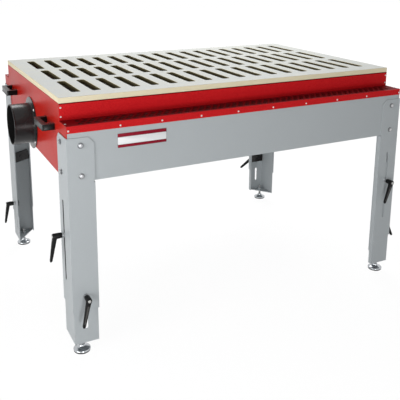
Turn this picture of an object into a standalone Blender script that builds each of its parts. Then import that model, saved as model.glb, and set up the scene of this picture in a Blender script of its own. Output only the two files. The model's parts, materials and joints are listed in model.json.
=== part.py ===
"""Downdraft table: a slotted work board on a sheet-steel extraction box, with an exhaust port
at its left end and four telescopic corner legs that are locked by clamping levers.

Metres, +Z up, X along the table, the floor at z = 0. Run it with blender --background --python.
"""

import math

import bmesh
import bpy
from mathutils import Matrix, Vector
from mathutils.geometry import delaunay_2d_cdt

# Clearances
GAP = 0.0003
SLIDE_GAP = 0.0005
HOLE_CLEARANCE = 0.0006
OVERRUN = 0.002

# Work board and its slots
TABLE_LENGTH = 1.500
TABLE_DEPTH = 0.910
BOARD_THICKNESS = 0.020
SLOT_COLUMNS = 18
SLOT_ROWS = 3
SLOT_LENGTH_SHARE = 0.244
SLOT_WIDTH = 0.0335
SLOT_CORNER = 0.009
SLOT_END_MARGIN = 0.087
SLOT_SIDE_MARGIN = 0.077

# Sheet-steel extraction box under the board
SHEET = 0.0015
FLANGE = 0.020
FASCIA_HEIGHT = 0.061
TRAY_REACH = 0.0893
TRAY_LIP = 0.025
TRAY_TUCK = 0.015
APRON_HEIGHT = 0.201
RAIL_WIDTH = 0.040
RAIL_HEIGHT = 0.030
RAIL_COLUMNS = (4, 9, 14)

# Diamond perforation of the two intake trays
PERF_PITCH = 0.0289
PERF_HALF_DIAGONAL = 0.0095
PERF_ROW_STEP = 0.020
PERF_ROWS = 3
PERF_END_MARGIN = 0.034

# Exhaust port on the left end panel
PORT_RADIUS = 0.083
PORT_WALL = 0.0025
PORT_REACH = 0.084
PORT_FLANGE_RADIUS = 0.1075
PORT_FLANGE_THICKNESS = 0.003
PORT_SPIGOT = 0.004
PORT_RISE = 0.090

# Bow handles on both end panels
HANDLE_LENGTH = 0.130
HANDLE_REACH = 0.044
HANDLE_HEIGHT = 0.022
HANDLE_ARM = 0.016
HANDLE_GRIP = 0.014
HANDLE_CHAMFER = 0.007
HANDLE_MARGIN = 0.2165
HANDLE_DROP = 0.0355

# Outer legs: a lipped flange along the table's length and a plain one across it
LEG_SHEET = 0.003
FRONT_FLANGE_WIDTH = 0.098
SIDE_FLANGE_WIDTH = 0.124
SIDE_FIXINGS = 0.078
LEG_LIP = 0.020
OUTER_LEG_LENGTH = 0.6515
LEG_CHAMFER = 0.024
LEG_TO_TRAY = 0.018
LIP_CLEARANCE = 0.005
NOTCH_DEPTH = 0.005
NOTCH_HEIGHT = 0.005

# Inner legs and their travel from the height at rest
INNER_LEG_LENGTH = 0.491
LEG_REVEAL = 0.131
RETRACT_TRAVEL = 0.128
EXTEND_TRAVEL = 0.172
CLAMP_SLOT_WIDTH = 0.012
UPPER_CLAMP_DROP = 0.085
LOWER_CLAMP_RISE = 0.058
FOOT_PLATE = 0.004
FOOT_NUT_RADIUS = 0.010
FOOT_NUT_HEIGHT = 0.010

# Levelling feet
FOOT_INSET = 0.038
STEM_RADIUS = 0.006
STEM_REVEAL = 0.023
STEM_TAIL = 0.015
STEM_SOCKET = 0.008
PAD_RADIUS = 0.032
PAD_HEIGHT = 0.026
PAD_BASE = 0.007
PAD_NECK_RADIUS = 0.011

# Clamping levers and the plates that their studs pull on
STUD_RADIUS = 0.005
STUD_TAIL = 0.003
HUB_RADIUS = 0.0105
HUB_LENGTH = 0.044
HUB_CHAMFER = 0.002
SCREW_RECESS_RADIUS = 0.006
SCREW_RECESS = 0.003
ARM_START = 0.028
ARM_WIDTH = 0.018
ARM_TIP_WIDTH = 0.011
ARM_THICKNESS = 0.016
ARM_LENGTH = 0.098
ARM_BEND_SHARE = 0.10
ARM_FLARE = 0.017
UPPER_PLATE_WIDTH = 0.080
UPPER_PLATE_HEIGHT = 0.050
LOWER_PLATE_SIDE = 0.028
PLATE_THICKNESS = 0.008

# Bolts that hold the legs to the extraction box
BOLT_DROP = 0.0275
BOLT_SPACING = 0.110
BOLT_RADIUS = 0.004
BOLT_HEAD_RADIUS = 0.0075
BOLT_HEAD_HEIGHT = 0.0055
WASHER_RADIUS = 0.0105
WASHER_THICKNESS = 0.0015
NUT_STRIP_WIDTH = 0.026
NUT_STRIP_THICKNESS = 0.005
NUT_STRIP_END = 0.013

# Segments of the round shapes
PORT_SEGMENTS = 40
PAD_SEGMENTS = 20
HUB_SEGMENTS = 16
STUD_SEGMENTS = 12
ARM_SEGMENTS = 8
HEX_SEGMENTS = 6
SLOT_CORNER_STEPS = 2
SLOT_END_STEPS = 4
SMOOTH_ANGLE = math.radians(40)
QUARTER_TURN = math.radians(90)
MERGE_SHARE = 0.001

# Heights, worked out from the floor up
INNER_LEG_BOTTOM = PAD_HEIGHT + STEM_REVEAL
INNER_LEG_TOP = INNER_LEG_BOTTOM + INNER_LEG_LENGTH
OUTER_LEG_BOTTOM = INNER_LEG_BOTTOM + LEG_REVEAL
OUTER_LEG_TOP = OUTER_LEG_BOTTOM + OUTER_LEG_LENGTH
UPPER_CLAMP_Z = INNER_LEG_TOP - UPPER_CLAMP_DROP
LOWER_CLAMP_Z = OUTER_LEG_BOTTOM + LOWER_CLAMP_RISE
TRAY_TOP = OUTER_LEG_TOP + LEG_TO_TRAY + TRAY_LIP
FASCIA_BOTTOM = TRAY_TOP + GAP
FASCIA_TOP = FASCIA_BOTTOM + FASCIA_HEIGHT
BOARD_BOTTOM = FASCIA_TOP + GAP
BOX_TOP = TRAY_TOP - SHEET - GAP
BOX_BOTTOM = BOX_TOP - APRON_HEIGHT
LIP_TOP = BOX_BOTTOM - LIP_CLEARANCE
PORT_Z = BOX_BOTTOM + PORT_RISE
HANDLE_Z = TRAY_TOP - HANDLE_DROP
BOLT_Z = OUTER_LEG_TOP - BOLT_DROP

# Places along X and Y, measured from the table's centre
PANEL_X = TABLE_LENGTH / 2
PANEL_INNER_X = PANEL_X - SHEET
CASING_X = PANEL_INNER_X - GAP
FASCIA_Y = TABLE_DEPTH / 2
FASCIA_INNER_Y = FASCIA_Y - SHEET
NECK_Y = FASCIA_INNER_Y - GAP
LIP_Y = FASCIA_Y + TRAY_REACH
APRON_Y = LIP_Y - SHEET - GAP
APRON_INNER_Y = APRON_Y - SHEET
CORNER_X = PANEL_X + GAP + LEG_SHEET
CORNER_Y = APRON_Y + GAP + LEG_SHEET
HANDLE_Y = APRON_Y - HANDLE_MARGIN
FRONT_FIXINGS = FRONT_FLANGE_WIDTH / 2
SLOT_PITCH = (TABLE_LENGTH - 2 * SLOT_END_MARGIN) / (SLOT_COLUMNS - 1)
SLOT_LENGTH = TABLE_DEPTH * SLOT_LENGTH_SHARE
SLOT_ROW_PITCH = (TABLE_DEPTH - 2 * SLOT_SIDE_MARGIN - SLOT_LENGTH) / (SLOT_ROWS - 1)
INNER_OFFSET = LEG_SHEET + SLIDE_GAP

# A flange of a leg: its width, the place of its clamp and bolts, and its lip
FRONT_FLANGE = (FRONT_FLANGE_WIDTH, FRONT_FIXINGS, LEG_LIP)
SIDE_FLANGE = (SIDE_FLANGE_WIDTH, SIDE_FIXINGS, 0)

# Each corner of the table: name, side along X, side along Y, quarter turns of its leg, and
# how far its lower and its upper lever are swung from hanging straight down
CORNERS = (
    ("front_left", -1, -1, 0, math.radians(16), 0),
    ("front_right", 1, -1, 1, math.radians(25), math.radians(30)),
    ("rear_right", 1, 1, 2, math.radians(-50), 0),
    ("rear_left", -1, 1, 3, 0, 0),
)


def clear_scene():
    for old in list(bpy.data.objects):
        bpy.data.objects.remove(old, do_unlink=True)


def paint(name, colour, roughness, metallic):
    """A Principled material of one plain finish."""
    material = bpy.data.materials.new(name)
    material.use_nodes = True
    shader = material.node_tree.nodes["Principled BSDF"]
    shader.inputs["Base Color"].default_value = (*colour, 1)
    shader.inputs["Roughness"].default_value = roughness
    shader.inputs["Metallic"].default_value = metallic
    return material


def mesh_from(name, shape):
    """The bmesh as a mesh, its normals outwards and its round sides smooth."""
    bmesh.ops.recalc_face_normals(shape, faces=shape.faces)
    mesh = bpy.data.meshes.new(name)
    shape.to_mesh(mesh)
    shape.free()
    mesh.shade_smooth()
    mesh.set_sharp_from_angle(angle=SMOOTH_ANGLE)
    return mesh


def prism(outline, low, high, axis="Z"):
    """A closed polygon, carried from low to high along an axis.

    The outline's points are (x, y) for Z, (x, z) for Y and (y, z) for X.
    """
    places = {
        "Z": lambda a, b, c: (a, b, c),
        "Y": lambda a, b, c: (a, c, b),
        "X": lambda a, b, c: (c, a, b),
    }
    place = places[axis]
    shape = bmesh.new()
    ends = [[shape.verts.new(place(*point, level)) for point in outline] for level in (low, high)]
    shape.faces.new(ends[0])
    shape.faces.new(ends[1])
    for i in range(len(outline)):
        j = (i + 1) % len(outline)
        shape.faces.new((ends[0][i], ends[0][j], ends[1][j], ends[1][i]))
    bmesh.ops.recalc_face_normals(shape, faces=shape.faces)
    return shape


def block(low, high):
    """A box between two opposite corners."""
    outline = ((low[0], low[1]), (high[0], low[1]), (high[0], high[1]), (low[0], high[1]))
    return prism(outline, low[2], high[2])


def regular(radius, segments, centre=(0, 0), start=0):
    """The corners of a regular polygon."""
    turns = [start + 2 * math.pi * i / segments for i in range(segments)]
    return [(centre[0] + radius * math.cos(t), centre[1] + radius * math.sin(t)) for t in turns]


def turned(profile, segments):
    """A closed profile of (radius, height) points, turned about Z."""
    shape = bmesh.new()
    corners = [shape.verts.new((radius, 0, height)) for radius, height in profile]
    edges = [shape.edges.new((corners[i - 1], corners[i])) for i in range(len(corners))]
    bmesh.ops.spin(
        shape,
        geom=corners + edges,
        cent=(0, 0, 0),
        axis=(0, 0, 1),
        angle=2 * math.pi,
        steps=segments,
        use_merge=True,
    )
    bmesh.ops.remove_doubles(shape, verts=shape.verts, dist=GAP * MERGE_SHARE)
    bmesh.ops.recalc_face_normals(shape, faces=shape.faces)
    return shape


def pierced_plate(outline, holes, low, high):
    """A flat plate between two levels with convex holes, meshed as one closed skin.

    A triangle whose three corners lie on one hole fills that hole, so it is left out.
    """
    points, edges, owners = [], [], []
    for number, loop in enumerate((outline, *holes)):
        first = len(points)
        points.extend(Vector(point) for point in loop)
        owners.extend([number] * len(loop))
        edges.extend((first + i, first + (i + 1) % len(loop)) for i in range(len(loop)))
    filled = delaunay_2d_cdt(points, edges, [], 1, GAP * MERGE_SHARE)
    shape = bmesh.new()
    bottom, top = ([shape.verts.new((p.x, p.y, level)) for p in points] for level in (low, high))
    for face in filled[2]:
        corners = [filled[3][i][0] for i in face]
        sides = {owners[i] for i in corners}
        if len(sides) == 1 and 0 not in sides:
            continue
        shape.faces.new([bottom[i] for i in corners])
        shape.faces.new([top[i] for i in reversed(corners)])
    for a, b in edges:
        shape.faces.new((bottom[a], bottom[b], top[b], top[a]))
    bmesh.ops.recalc_face_normals(shape, faces=shape.faces)
    return shape


def combine(base, tools, operation):
    """The base shape joined with, or cut by, each tool shape in turn."""
    body = bpy.data.objects.new("body", mesh_from("body", base))
    bpy.context.scene.collection.objects.link(body)
    helpers = [body]
    for tool in tools:
        helper = bpy.data.objects.new("helper", mesh_from("helper", tool))
        helper.hide_render = True
        helper.display_type = "WIRE"
        bpy.context.scene.collection.objects.link(helper)
        helpers.append(helper)
        step = body.modifiers.new("step", "BOOLEAN")
        step.operation = operation
        step.solver = "EXACT"
        step.object = helper
    graph = bpy.context.evaluated_depsgraph_get()
    result = bmesh.new()
    result.from_object(body, graph)
    for helper in helpers:
        bpy.data.objects.remove(helper, do_unlink=True)
    return result


def joined(base, *tools):
    return combine(base, tools, "UNION")


def carved(base, *tools):
    return combine(base, tools, "DIFFERENCE")


def moved(shape, offset=(0, 0, 0), turn=0, axis="Z"):
    """The shape turned about an axis through the origin and then shifted."""
    matrix = Matrix.Translation(offset) @ Matrix.Rotation(turn, 4, axis)
    bmesh.ops.transform(shape, matrix=matrix, verts=shape.verts)
    return shape


def piece(name, mesh, material, parent, location=(0, 0, 0), turn=0, swing=0):
    """A named object under its parent, swung about its own Y axis and then turned about Z."""
    if not mesh.materials:
        mesh.materials.append(material)
    result = bpy.data.objects.new(name, mesh)
    bpy.context.scene.collection.objects.link(result)
    result.parent = parent
    result.location = location
    result.rotation_euler = (0, swing, turn)
    return result


def empty(name, parent=None, location=(0, 0, 0), turn=0):
    result = bpy.data.objects.new(name, None)
    bpy.context.scene.collection.objects.link(result)
    result.parent = parent
    result.location = location
    result.rotation_euler = (0, 0, turn)
    return result


def rounded_slot(x, y):
    """One slot of the board: a rectangle along Y with rounded corners."""
    points = []
    for quarter, side_x, side_y in ((0, 1, 1), (1, -1, 1), (2, -1, -1), (3, 1, -1)):
        centre_x = x + side_x * (SLOT_WIDTH / 2 - SLOT_CORNER)
        centre_y = y + side_y * (SLOT_LENGTH / 2 - SLOT_CORNER)
        for i in range(SLOT_CORNER_STEPS + 1):
            turn = QUARTER_TURN * (quarter + i / SLOT_CORNER_STEPS)
            points.append(
                (centre_x + SLOT_CORNER * math.cos(turn), centre_y + SLOT_CORNER * math.sin(turn))
            )
    return points


def slot_column_x(column):
    return (column - (SLOT_COLUMNS - 1) / 2) * SLOT_PITCH


def work_board():
    half_x = TABLE_LENGTH / 2
    half_y = TABLE_DEPTH / 2
    outline = ((-half_x, -half_y), (half_x, -half_y), (half_x, half_y), (-half_x, half_y))
    slots = []
    for row in range(SLOT_ROWS):
        slot_y = (row - (SLOT_ROWS - 1) / 2) * SLOT_ROW_PITCH
        for column in range(SLOT_COLUMNS):
            slots.append(rounded_slot(slot_column_x(column), slot_y))
    return pierced_plate(outline, slots, BOARD_BOTTOM, BOARD_BOTTOM + BOARD_THICKNESS)


def front_fascia():
    """The band under the board's front edge, with a flange turned in under the board."""
    web = block((-PANEL_X, -FASCIA_Y, FASCIA_BOTTOM), (PANEL_X, -FASCIA_INNER_Y, FASCIA_TOP))
    flange = block(
        (-CASING_X, -FASCIA_Y + SHEET / 2, FASCIA_TOP - SHEET),
        (CASING_X, -FASCIA_INNER_Y + FLANGE, FASCIA_TOP),
    )
    return joined(web, flange)


def diamond(x, y):
    return regular(PERF_HALF_DIAGONAL, 4, (x, y))


def perforation(near_y, far_y):
    """Staggered rows of diamond holes, centred between two edges of the tray."""
    span = TABLE_LENGTH - 2 * PERF_END_MARGIN - 2 * PERF_HALF_DIAGONAL
    count = int(span / PERF_PITCH) + 1
    middle = (near_y + far_y) / 2
    holes = []
    for row in range(PERF_ROWS):
        row_y = middle + (row - (PERF_ROWS - 1) / 2) * PERF_ROW_STEP
        row_count = count - row % 2
        for i in range(row_count):
            holes.append(diamond((i - (row_count - 1) / 2) * PERF_PITCH, row_y))
    return holes


def front_tray():
    """The perforated intake tray in front of the fascia, with its lip folded down."""
    tuck_y = -FASCIA_Y + TRAY_TUCK
    notch_y = -NECK_Y - GAP
    outline = (
        (-PANEL_X, -LIP_Y),
        (PANEL_X, -LIP_Y),
        (PANEL_X, notch_y),
        (CASING_X, notch_y),
        (CASING_X, tuck_y),
        (-CASING_X, tuck_y),
        (-CASING_X, notch_y),
        (-PANEL_X, notch_y),
    )
    sheet = pierced_plate(outline, perforation(-LIP_Y, -FASCIA_Y), TRAY_TOP - SHEET, TRAY_TOP)
    lip = block(
        (-PANEL_X, -LIP_Y, TRAY_TOP - TRAY_LIP),
        (PANEL_X, -LIP_Y + SHEET, TRAY_TOP - SHEET / 2),
    )
    return joined(sheet, lip)


def bolt_hole(wall_low, wall_high, along, height, axis):
    """A round cutter through a wall that is square to the axis."""
    hole = regular(BOLT_RADIUS + HOLE_CLEARANCE, STUD_SEGMENTS, (along, height))
    return prism(hole, wall_low - OVERRUN, wall_high + OVERRUN, axis)


def bolt_heights():
    return (BOLT_Z, BOLT_Z - BOLT_SPACING)


def front_apron():
    """The front wall of the extraction box, a channel with flanges above and below."""
    flange_x = PANEL_INNER_X - FLANGE - GAP
    flange_y = -APRON_INNER_Y + FLANGE
    web = block((-CASING_X, -APRON_Y, BOX_BOTTOM), (CASING_X, -APRON_INNER_Y, BOX_TOP))
    flanges = [
        block(
            (-flange_x, -APRON_Y + SHEET / 2, low),
            (flange_x, flange_y, low + SHEET),
        )
        for low in (BOX_BOTTOM, BOX_TOP - SHEET)
    ]
    along = CORNER_X - FRONT_FIXINGS
    holes = [
        bolt_hole(-APRON_Y, -APRON_INNER_Y, side * along, height, "Y")
        for side in (-1, 1)
        for height in bolt_heights()
    ]
    return carved(joined(web, *flanges), *holes)


def end_panel_plate():
    """The left end panel's flat T: wide below the trays, narrow between the fascias."""
    outline = (
        (-APRON_Y, BOX_BOTTOM),
        (APRON_Y, BOX_BOTTOM),
        (APRON_Y, BOX_TOP),
        (NECK_Y, BOX_TOP),
        (NECK_Y, FASCIA_TOP),
        (-NECK_Y, FASCIA_TOP),
        (-NECK_Y, BOX_TOP),
        (-APRON_Y, BOX_TOP),
    )
    return prism(outline, -PANEL_X, -PANEL_INNER_X, "X")


def end_panel(with_port):
    """The left end panel with the flanges folded in from its edges."""
    root_x = -PANEL_X + SHEET / 2
    fold_x = -PANEL_INNER_X + FLANGE
    wide_y = APRON_INNER_Y - GAP
    top_y = FASCIA_INNER_Y - FLANGE - GAP
    flanges = [
        block((root_x, -wide_y, BOX_BOTTOM), (fold_x, wide_y, BOX_BOTTOM + SHEET)),
        block((root_x, -top_y, FASCIA_TOP - SHEET), (fold_x, top_y, FASCIA_TOP)),
    ]
    for side in (-1, 1):
        for outer_y, low, high in (
            (wide_y, BOX_BOTTOM, BOX_TOP),
            (NECK_Y, FASCIA_BOTTOM, FASCIA_TOP - SHEET - GAP),
        ):
            edges = sorted((side * outer_y, side * (outer_y - SHEET)))
            flanges.append(block((root_x, edges[0], low), (fold_x, edges[1], high)))
    along = CORNER_Y - SIDE_FIXINGS
    holes = [
        bolt_hole(-PANEL_X, -PANEL_INNER_X, side * along, height, "X")
        for side in (-1, 1)
        for height in bolt_heights()
    ]
    if with_port:
        mouth = regular(PORT_RADIUS + HOLE_CLEARANCE, PORT_SEGMENTS, (0, PORT_Z))
        holes.append(prism(mouth, -PANEL_X - OVERRUN, -PANEL_INNER_X + OVERRUN, "X"))
    return carved(joined(end_panel_plate(), *flanges), *holes)


def plenum_floor():
    half_x = CASING_X
    half_y = APRON_INNER_Y - GAP - SHEET - GAP
    low = BOX_BOTTOM + SHEET + GAP
    return block((-half_x, -half_y, low), (half_x, half_y, low + SHEET))


def cross_rail():
    """An inverted channel across the table under the board, notched for the fascia flanges."""
    half = RAIL_WIDTH / 2
    low = FASCIA_TOP - RAIL_HEIGHT
    outline = (
        (-half, low),
        (-half + SHEET, low),
        (-half + SHEET, FASCIA_TOP - SHEET),
        (half - SHEET, FASCIA_TOP - SHEET),
        (half - SHEET, low),
        (half, low),
        (half, FASCIA_TOP),
        (-half, FASCIA_TOP),
    )
    notch_y = FASCIA_INNER_Y - FLANGE - GAP
    notch_z = FASCIA_TOP - SHEET - GAP
    notches = []
    for side in (-1, 1):
        edges = sorted((side * notch_y, side * FASCIA_Y))
        notches.append(
            block((-RAIL_WIDTH, edges[0], notch_z), (RAIL_WIDTH, edges[1], FASCIA_TOP + OVERRUN))
        )
    return carved(prism(outline, -NECK_Y, NECK_Y, "Y"), *notches)


def exhaust_port():
    """The black spigot and its round flange, turned about Z with the mouth at the top.

    The flange's back rests on z = 0, and a short spigot reaches down through the panel.
    """
    bore = PORT_RADIUS - PORT_WALL
    spigot = -(GAP + SHEET + PORT_SPIGOT)
    profile = (
        (bore, spigot),
        (PORT_RADIUS, spigot),
        (PORT_RADIUS, 0),
        (PORT_FLANGE_RADIUS, 0),
        (PORT_FLANGE_RADIUS, PORT_FLANGE_THICKNESS),
        (PORT_RADIUS, PORT_FLANGE_THICKNESS),
        (PORT_RADIUS, PORT_REACH - GAP),
        (bore, PORT_REACH - GAP),
    )
    return moved(turned(profile, PORT_SEGMENTS), turn=-QUARTER_TURN, axis="Y")


def bow_handle():
    """A black bow handle that stands out along -X from x = 0, its bar along Y."""
    end = HANDLE_LENGTH / 2
    inner = end - HANDLE_ARM
    bar = HANDLE_REACH - HANDLE_GRIP
    soft = HANDLE_CHAMFER / 2
    outline = (
        (0, -end),
        (0, -inner),
        (-bar + soft, -inner),
        (-bar, -inner + soft),
        (-bar, inner - soft),
        (-bar + soft, inner),
        (0, inner),
        (0, end),
        (-HANDLE_REACH + HANDLE_CHAMFER, end),
        (-HANDLE_REACH, end - HANDLE_CHAMFER),
        (-HANDLE_REACH, -end + HANDLE_CHAMFER),
        (-HANDLE_REACH + HANDLE_CHAMFER, -end),
    )
    return prism(outline, -HANDLE_HEIGHT / 2, HANDLE_HEIGHT / 2)


def flange_end(offset, flange):
    """The free end of a leg's flange in (along, depth), with its lip if it has one."""
    width, _, lip = flange
    end = width - offset
    inner = offset + LEG_SHEET
    if not lip:
        return [(end, offset), (end, inner)]
    back = end - LEG_SHEET
    return [(end, offset), (end, offset + lip), (back, offset + lip), (back, inner)]


def leg_profile(offset, along_x, along_y):
    """The section of a leg: two flanges that meet at the corner on the Z axis."""
    inner = offset + LEG_SHEET
    first = flange_end(offset, along_x)
    second = [(y, x) for x, y in reversed(flange_end(offset, along_y))]
    return [(offset, offset), *first, (inner, inner), *second]


def clamp_slot(centre, low, high):
    """The outline of a leg's clamp slot in (along, z), its round ends at low and high."""
    radius = CLAMP_SLOT_WIDTH / 2
    points = []
    for start, height in ((0, high), (math.pi, low)):
        for i in range(SLOT_END_STEPS + 1):
            turn = start + math.pi * i / SLOT_END_STEPS
            points.append((centre + radius * math.cos(turn), height + radius * math.sin(turn)))
    return points


def stud_hole(centre, height):
    return regular(STUD_RADIUS + GAP, HUB_SEGMENTS, (centre, height))


def outer_flange_cutters(flange, axis):
    """What is cut from one flange of an outer leg, which lies square to the axis.

    The lip ends below the casing, a notch clears its bottom edge and the top corner is cut off.
    """
    width, centre, lip = flange
    over = OVERRUN
    top = OUTER_LEG_TOP
    chamfer = (
        (width - LEG_CHAMFER, top + over),
        (width + over, top + over),
        (width + over, top - LEG_CHAMFER),
    )
    notch = (
        (width - NOTCH_DEPTH, LIP_TOP),
        (width + over, LIP_TOP),
        (width + over, LIP_TOP + NOTCH_HEIGHT),
        (width - NOTCH_DEPTH, LIP_TOP + NOTCH_HEIGHT),
    )
    cutters = [prism(outline, -over, LEG_SHEET + over, axis) for outline in (chamfer, notch)]
    if lip:
        lip_zone = (
            (width - LEG_SHEET - over, LIP_TOP),
            (width + over, LIP_TOP),
            (width + over, top + over),
            (width - LEG_SHEET - over, top + over),
        )
        cutters.append(prism(lip_zone, LEG_SHEET, lip + over, axis))
    for height in bolt_heights():
        cutters.append(bolt_hole(0, LEG_SHEET, centre, height, axis))
    return cutters


def outer_leg(along_x, along_y):
    """A corner leg, its outer corner on the Z axis, with its clamp hole and its clamp slot."""
    over = OVERRUN
    low = UPPER_CLAMP_Z - EXTEND_TRAVEL
    high = UPPER_CLAMP_Z + RETRACT_TRAVEL
    tools = [
        *outer_flange_cutters(along_x, "Y"),
        *outer_flange_cutters(along_y, "X"),
        prism(stud_hole(along_x[1], LOWER_CLAMP_Z), -over, LEG_SHEET + over, "Y"),
        prism(clamp_slot(along_y[1], low, high), -over, LEG_SHEET + over, "X"),
    ]
    leg = prism(leg_profile(0, along_x, along_y), OUTER_LEG_BOTTOM, OUTER_LEG_TOP)
    return carved(leg, *tools)


def inner_leg(along_x, along_y):
    """The telescopic leg inside the outer one, with its foot plate and weld nut."""
    a = INNER_OFFSET
    t = LEG_SHEET
    over = OVERRUN
    root = a + t / 2
    plate_top = INNER_LEG_BOTTOM + FOOT_PLATE
    corner = ((root, root), (along_x[0] - root, root), (root, along_y[0] - root))
    plate = prism(corner, INNER_LEG_BOTTOM, plate_top)
    nut = prism(
        regular(FOOT_NUT_RADIUS, HEX_SEGMENTS, (FOOT_INSET, FOOT_INSET)),
        INNER_LEG_BOTTOM + FOOT_PLATE / 2,
        plate_top + FOOT_NUT_HEIGHT,
    )
    thread = prism(
        regular(STEM_RADIUS + GAP, HUB_SEGMENTS, (FOOT_INSET, FOOT_INSET)),
        INNER_LEG_BOTTOM - over,
        plate_top + FOOT_NUT_HEIGHT + over,
    )
    low = LOWER_CLAMP_Z - RETRACT_TRAVEL
    high = LOWER_CLAMP_Z + EXTEND_TRAVEL
    tools = [
        thread,
        prism(clamp_slot(along_x[1], low, high), a - over, a + t + over, "Y"),
        prism(stud_hole(along_y[1], UPPER_CLAMP_Z), a - over, a + t + over, "X"),
    ]
    leg = prism(leg_profile(a, along_x, along_y), INNER_LEG_BOTTOM, INNER_LEG_TOP)
    return carved(joined(leg, plate, nut), *tools)


def plate_depth():
    """How far inside a leg's outer face a clamp plate starts."""
    return LEG_SHEET + SLIDE_GAP + LEG_SHEET + GAP


def clamp_lever():
    """A clamping lever: its stud reaches along +Y from the origin, its hub along -Y, its arm down."""
    stud_end = plate_depth() + PLATE_THICKNESS + STUD_TAIL
    hub = (
        (0, -stud_end),
        (STUD_RADIUS, -stud_end),
        (STUD_RADIUS, GAP),
        (HUB_RADIUS, GAP),
        (HUB_RADIUS, HUB_LENGTH - HUB_CHAMFER),
        (HUB_RADIUS - HUB_CHAMFER, HUB_LENGTH),
        (SCREW_RECESS_RADIUS, HUB_LENGTH),
        (SCREW_RECESS_RADIUS, HUB_LENGTH - SCREW_RECESS),
        (0, HUB_LENGTH - SCREW_RECESS),
    )
    body = moved(turned(hub, HUB_SEGMENTS), turn=QUARTER_TURN, axis="X")
    return joined(body, lever_arm())


def lever_arm():
    """The lever's tapered arm: straight down from the hub, then flared outwards to the tip."""
    root = ARM_START + ARM_THICKNESS / 2
    stations = (
        (0, root, ARM_WIDTH, ARM_THICKNESS),
        (ARM_LENGTH * ARM_BEND_SHARE, root, ARM_WIDTH, ARM_THICKNESS),
        (ARM_LENGTH, root + ARM_FLARE, ARM_TIP_WIDTH, ARM_TIP_WIDTH),
    )
    turns = [2 * math.pi * (i + 1 / 2) / ARM_SEGMENTS for i in range(ARM_SEGMENTS)]
    shape = bmesh.new()
    rings = []
    for drop, outward, width, thickness in stations:
        places = [
            (width / 2 * math.cos(turn), -outward + thickness / 2 * math.sin(turn), -drop)
            for turn in turns
        ]
        rings.append([shape.verts.new(place) for place in places])
    for upper, lower in zip(rings, rings[1:]):
        for i in range(len(upper)):
            shape.faces.new((upper[i - 1], upper[i], lower[i], lower[i - 1]))
    shape.faces.new(rings[0])
    shape.faces.new(rings[-1])
    bmesh.ops.recalc_face_normals(shape, faces=shape.faces)
    return shape


def clamp_plate(width, height):
    """The plate inside a leg that a lever's stud pulls outwards, in the lever's own frame."""
    low = plate_depth()
    plate = block(
        (-width / 2, low, -height / 2),
        (width / 2, low + PLATE_THICKNESS, height / 2),
    )
    bore = prism(
        regular(STUD_RADIUS + GAP, HUB_SEGMENTS),
        low - OVERRUN,
        low + PLATE_THICKNESS + OVERRUN,
        "Y",
    )
    return carved(plate, bore)


def bolt_pair():
    """Two leg bolts with washers, screwed into a strip behind the casing's wall."""
    wall = LEG_SHEET + GAP + SHEET + GAP
    strip = block(
        (-NUT_STRIP_WIDTH / 2, wall, -BOLT_SPACING - NUT_STRIP_END),
        (NUT_STRIP_WIDTH / 2, wall + NUT_STRIP_THICKNESS, NUT_STRIP_END),
    )
    parts = []
    for height in (0, -BOLT_SPACING):
        washer_face = -GAP - WASHER_THICKNESS
        parts.append(
            prism(
                regular(BOLT_RADIUS, STUD_SEGMENTS, (0, height)),
                washer_face - BOLT_HEAD_HEIGHT / 2,
                wall + NUT_STRIP_THICKNESS / 2,
                "Y",
            )
        )
        parts.append(
            prism(
                regular(WASHER_RADIUS, STUD_SEGMENTS, (0, height)),
                washer_face,
                -GAP,
                "Y",
            )
        )
        parts.append(
            prism(
                regular(BOLT_HEAD_RADIUS, HEX_SEGMENTS, (0, height)),
                washer_face - BOLT_HEAD_HEIGHT,
                washer_face + WASHER_THICKNESS / 2,
                "Y",
            )
        )
    return joined(strip, *parts)


def foot_stem():
    """The levelling screw, on its own axis, with its foot end inside the pad's socket."""
    low = PAD_HEIGHT - STEM_SOCKET + GAP
    high = INNER_LEG_BOTTOM + FOOT_PLATE + FOOT_NUT_HEIGHT + STEM_TAIL
    return prism(regular(STEM_RADIUS, HUB_SEGMENTS), low, high)


def foot_pad():
    """The round foot: a flat base under a domed cap, with a socket for the screw."""
    socket = STEM_RADIUS + HOLE_CLEARANCE
    shoulder = (PAD_RADIUS + PAD_NECK_RADIUS) / 2
    profile = (
        (0, 0),
        (PAD_RADIUS, 0),
        (PAD_RADIUS, PAD_BASE),
        (shoulder, (PAD_BASE + PAD_HEIGHT) / 2),
        (PAD_NECK_RADIUS, PAD_HEIGHT),
        (socket, PAD_HEIGHT),
        (socket, PAD_HEIGHT - STEM_SOCKET),
        (0, PAD_HEIGHT - STEM_SOCKET),
    )
    return turned(profile, PAD_SEGMENTS)


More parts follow.
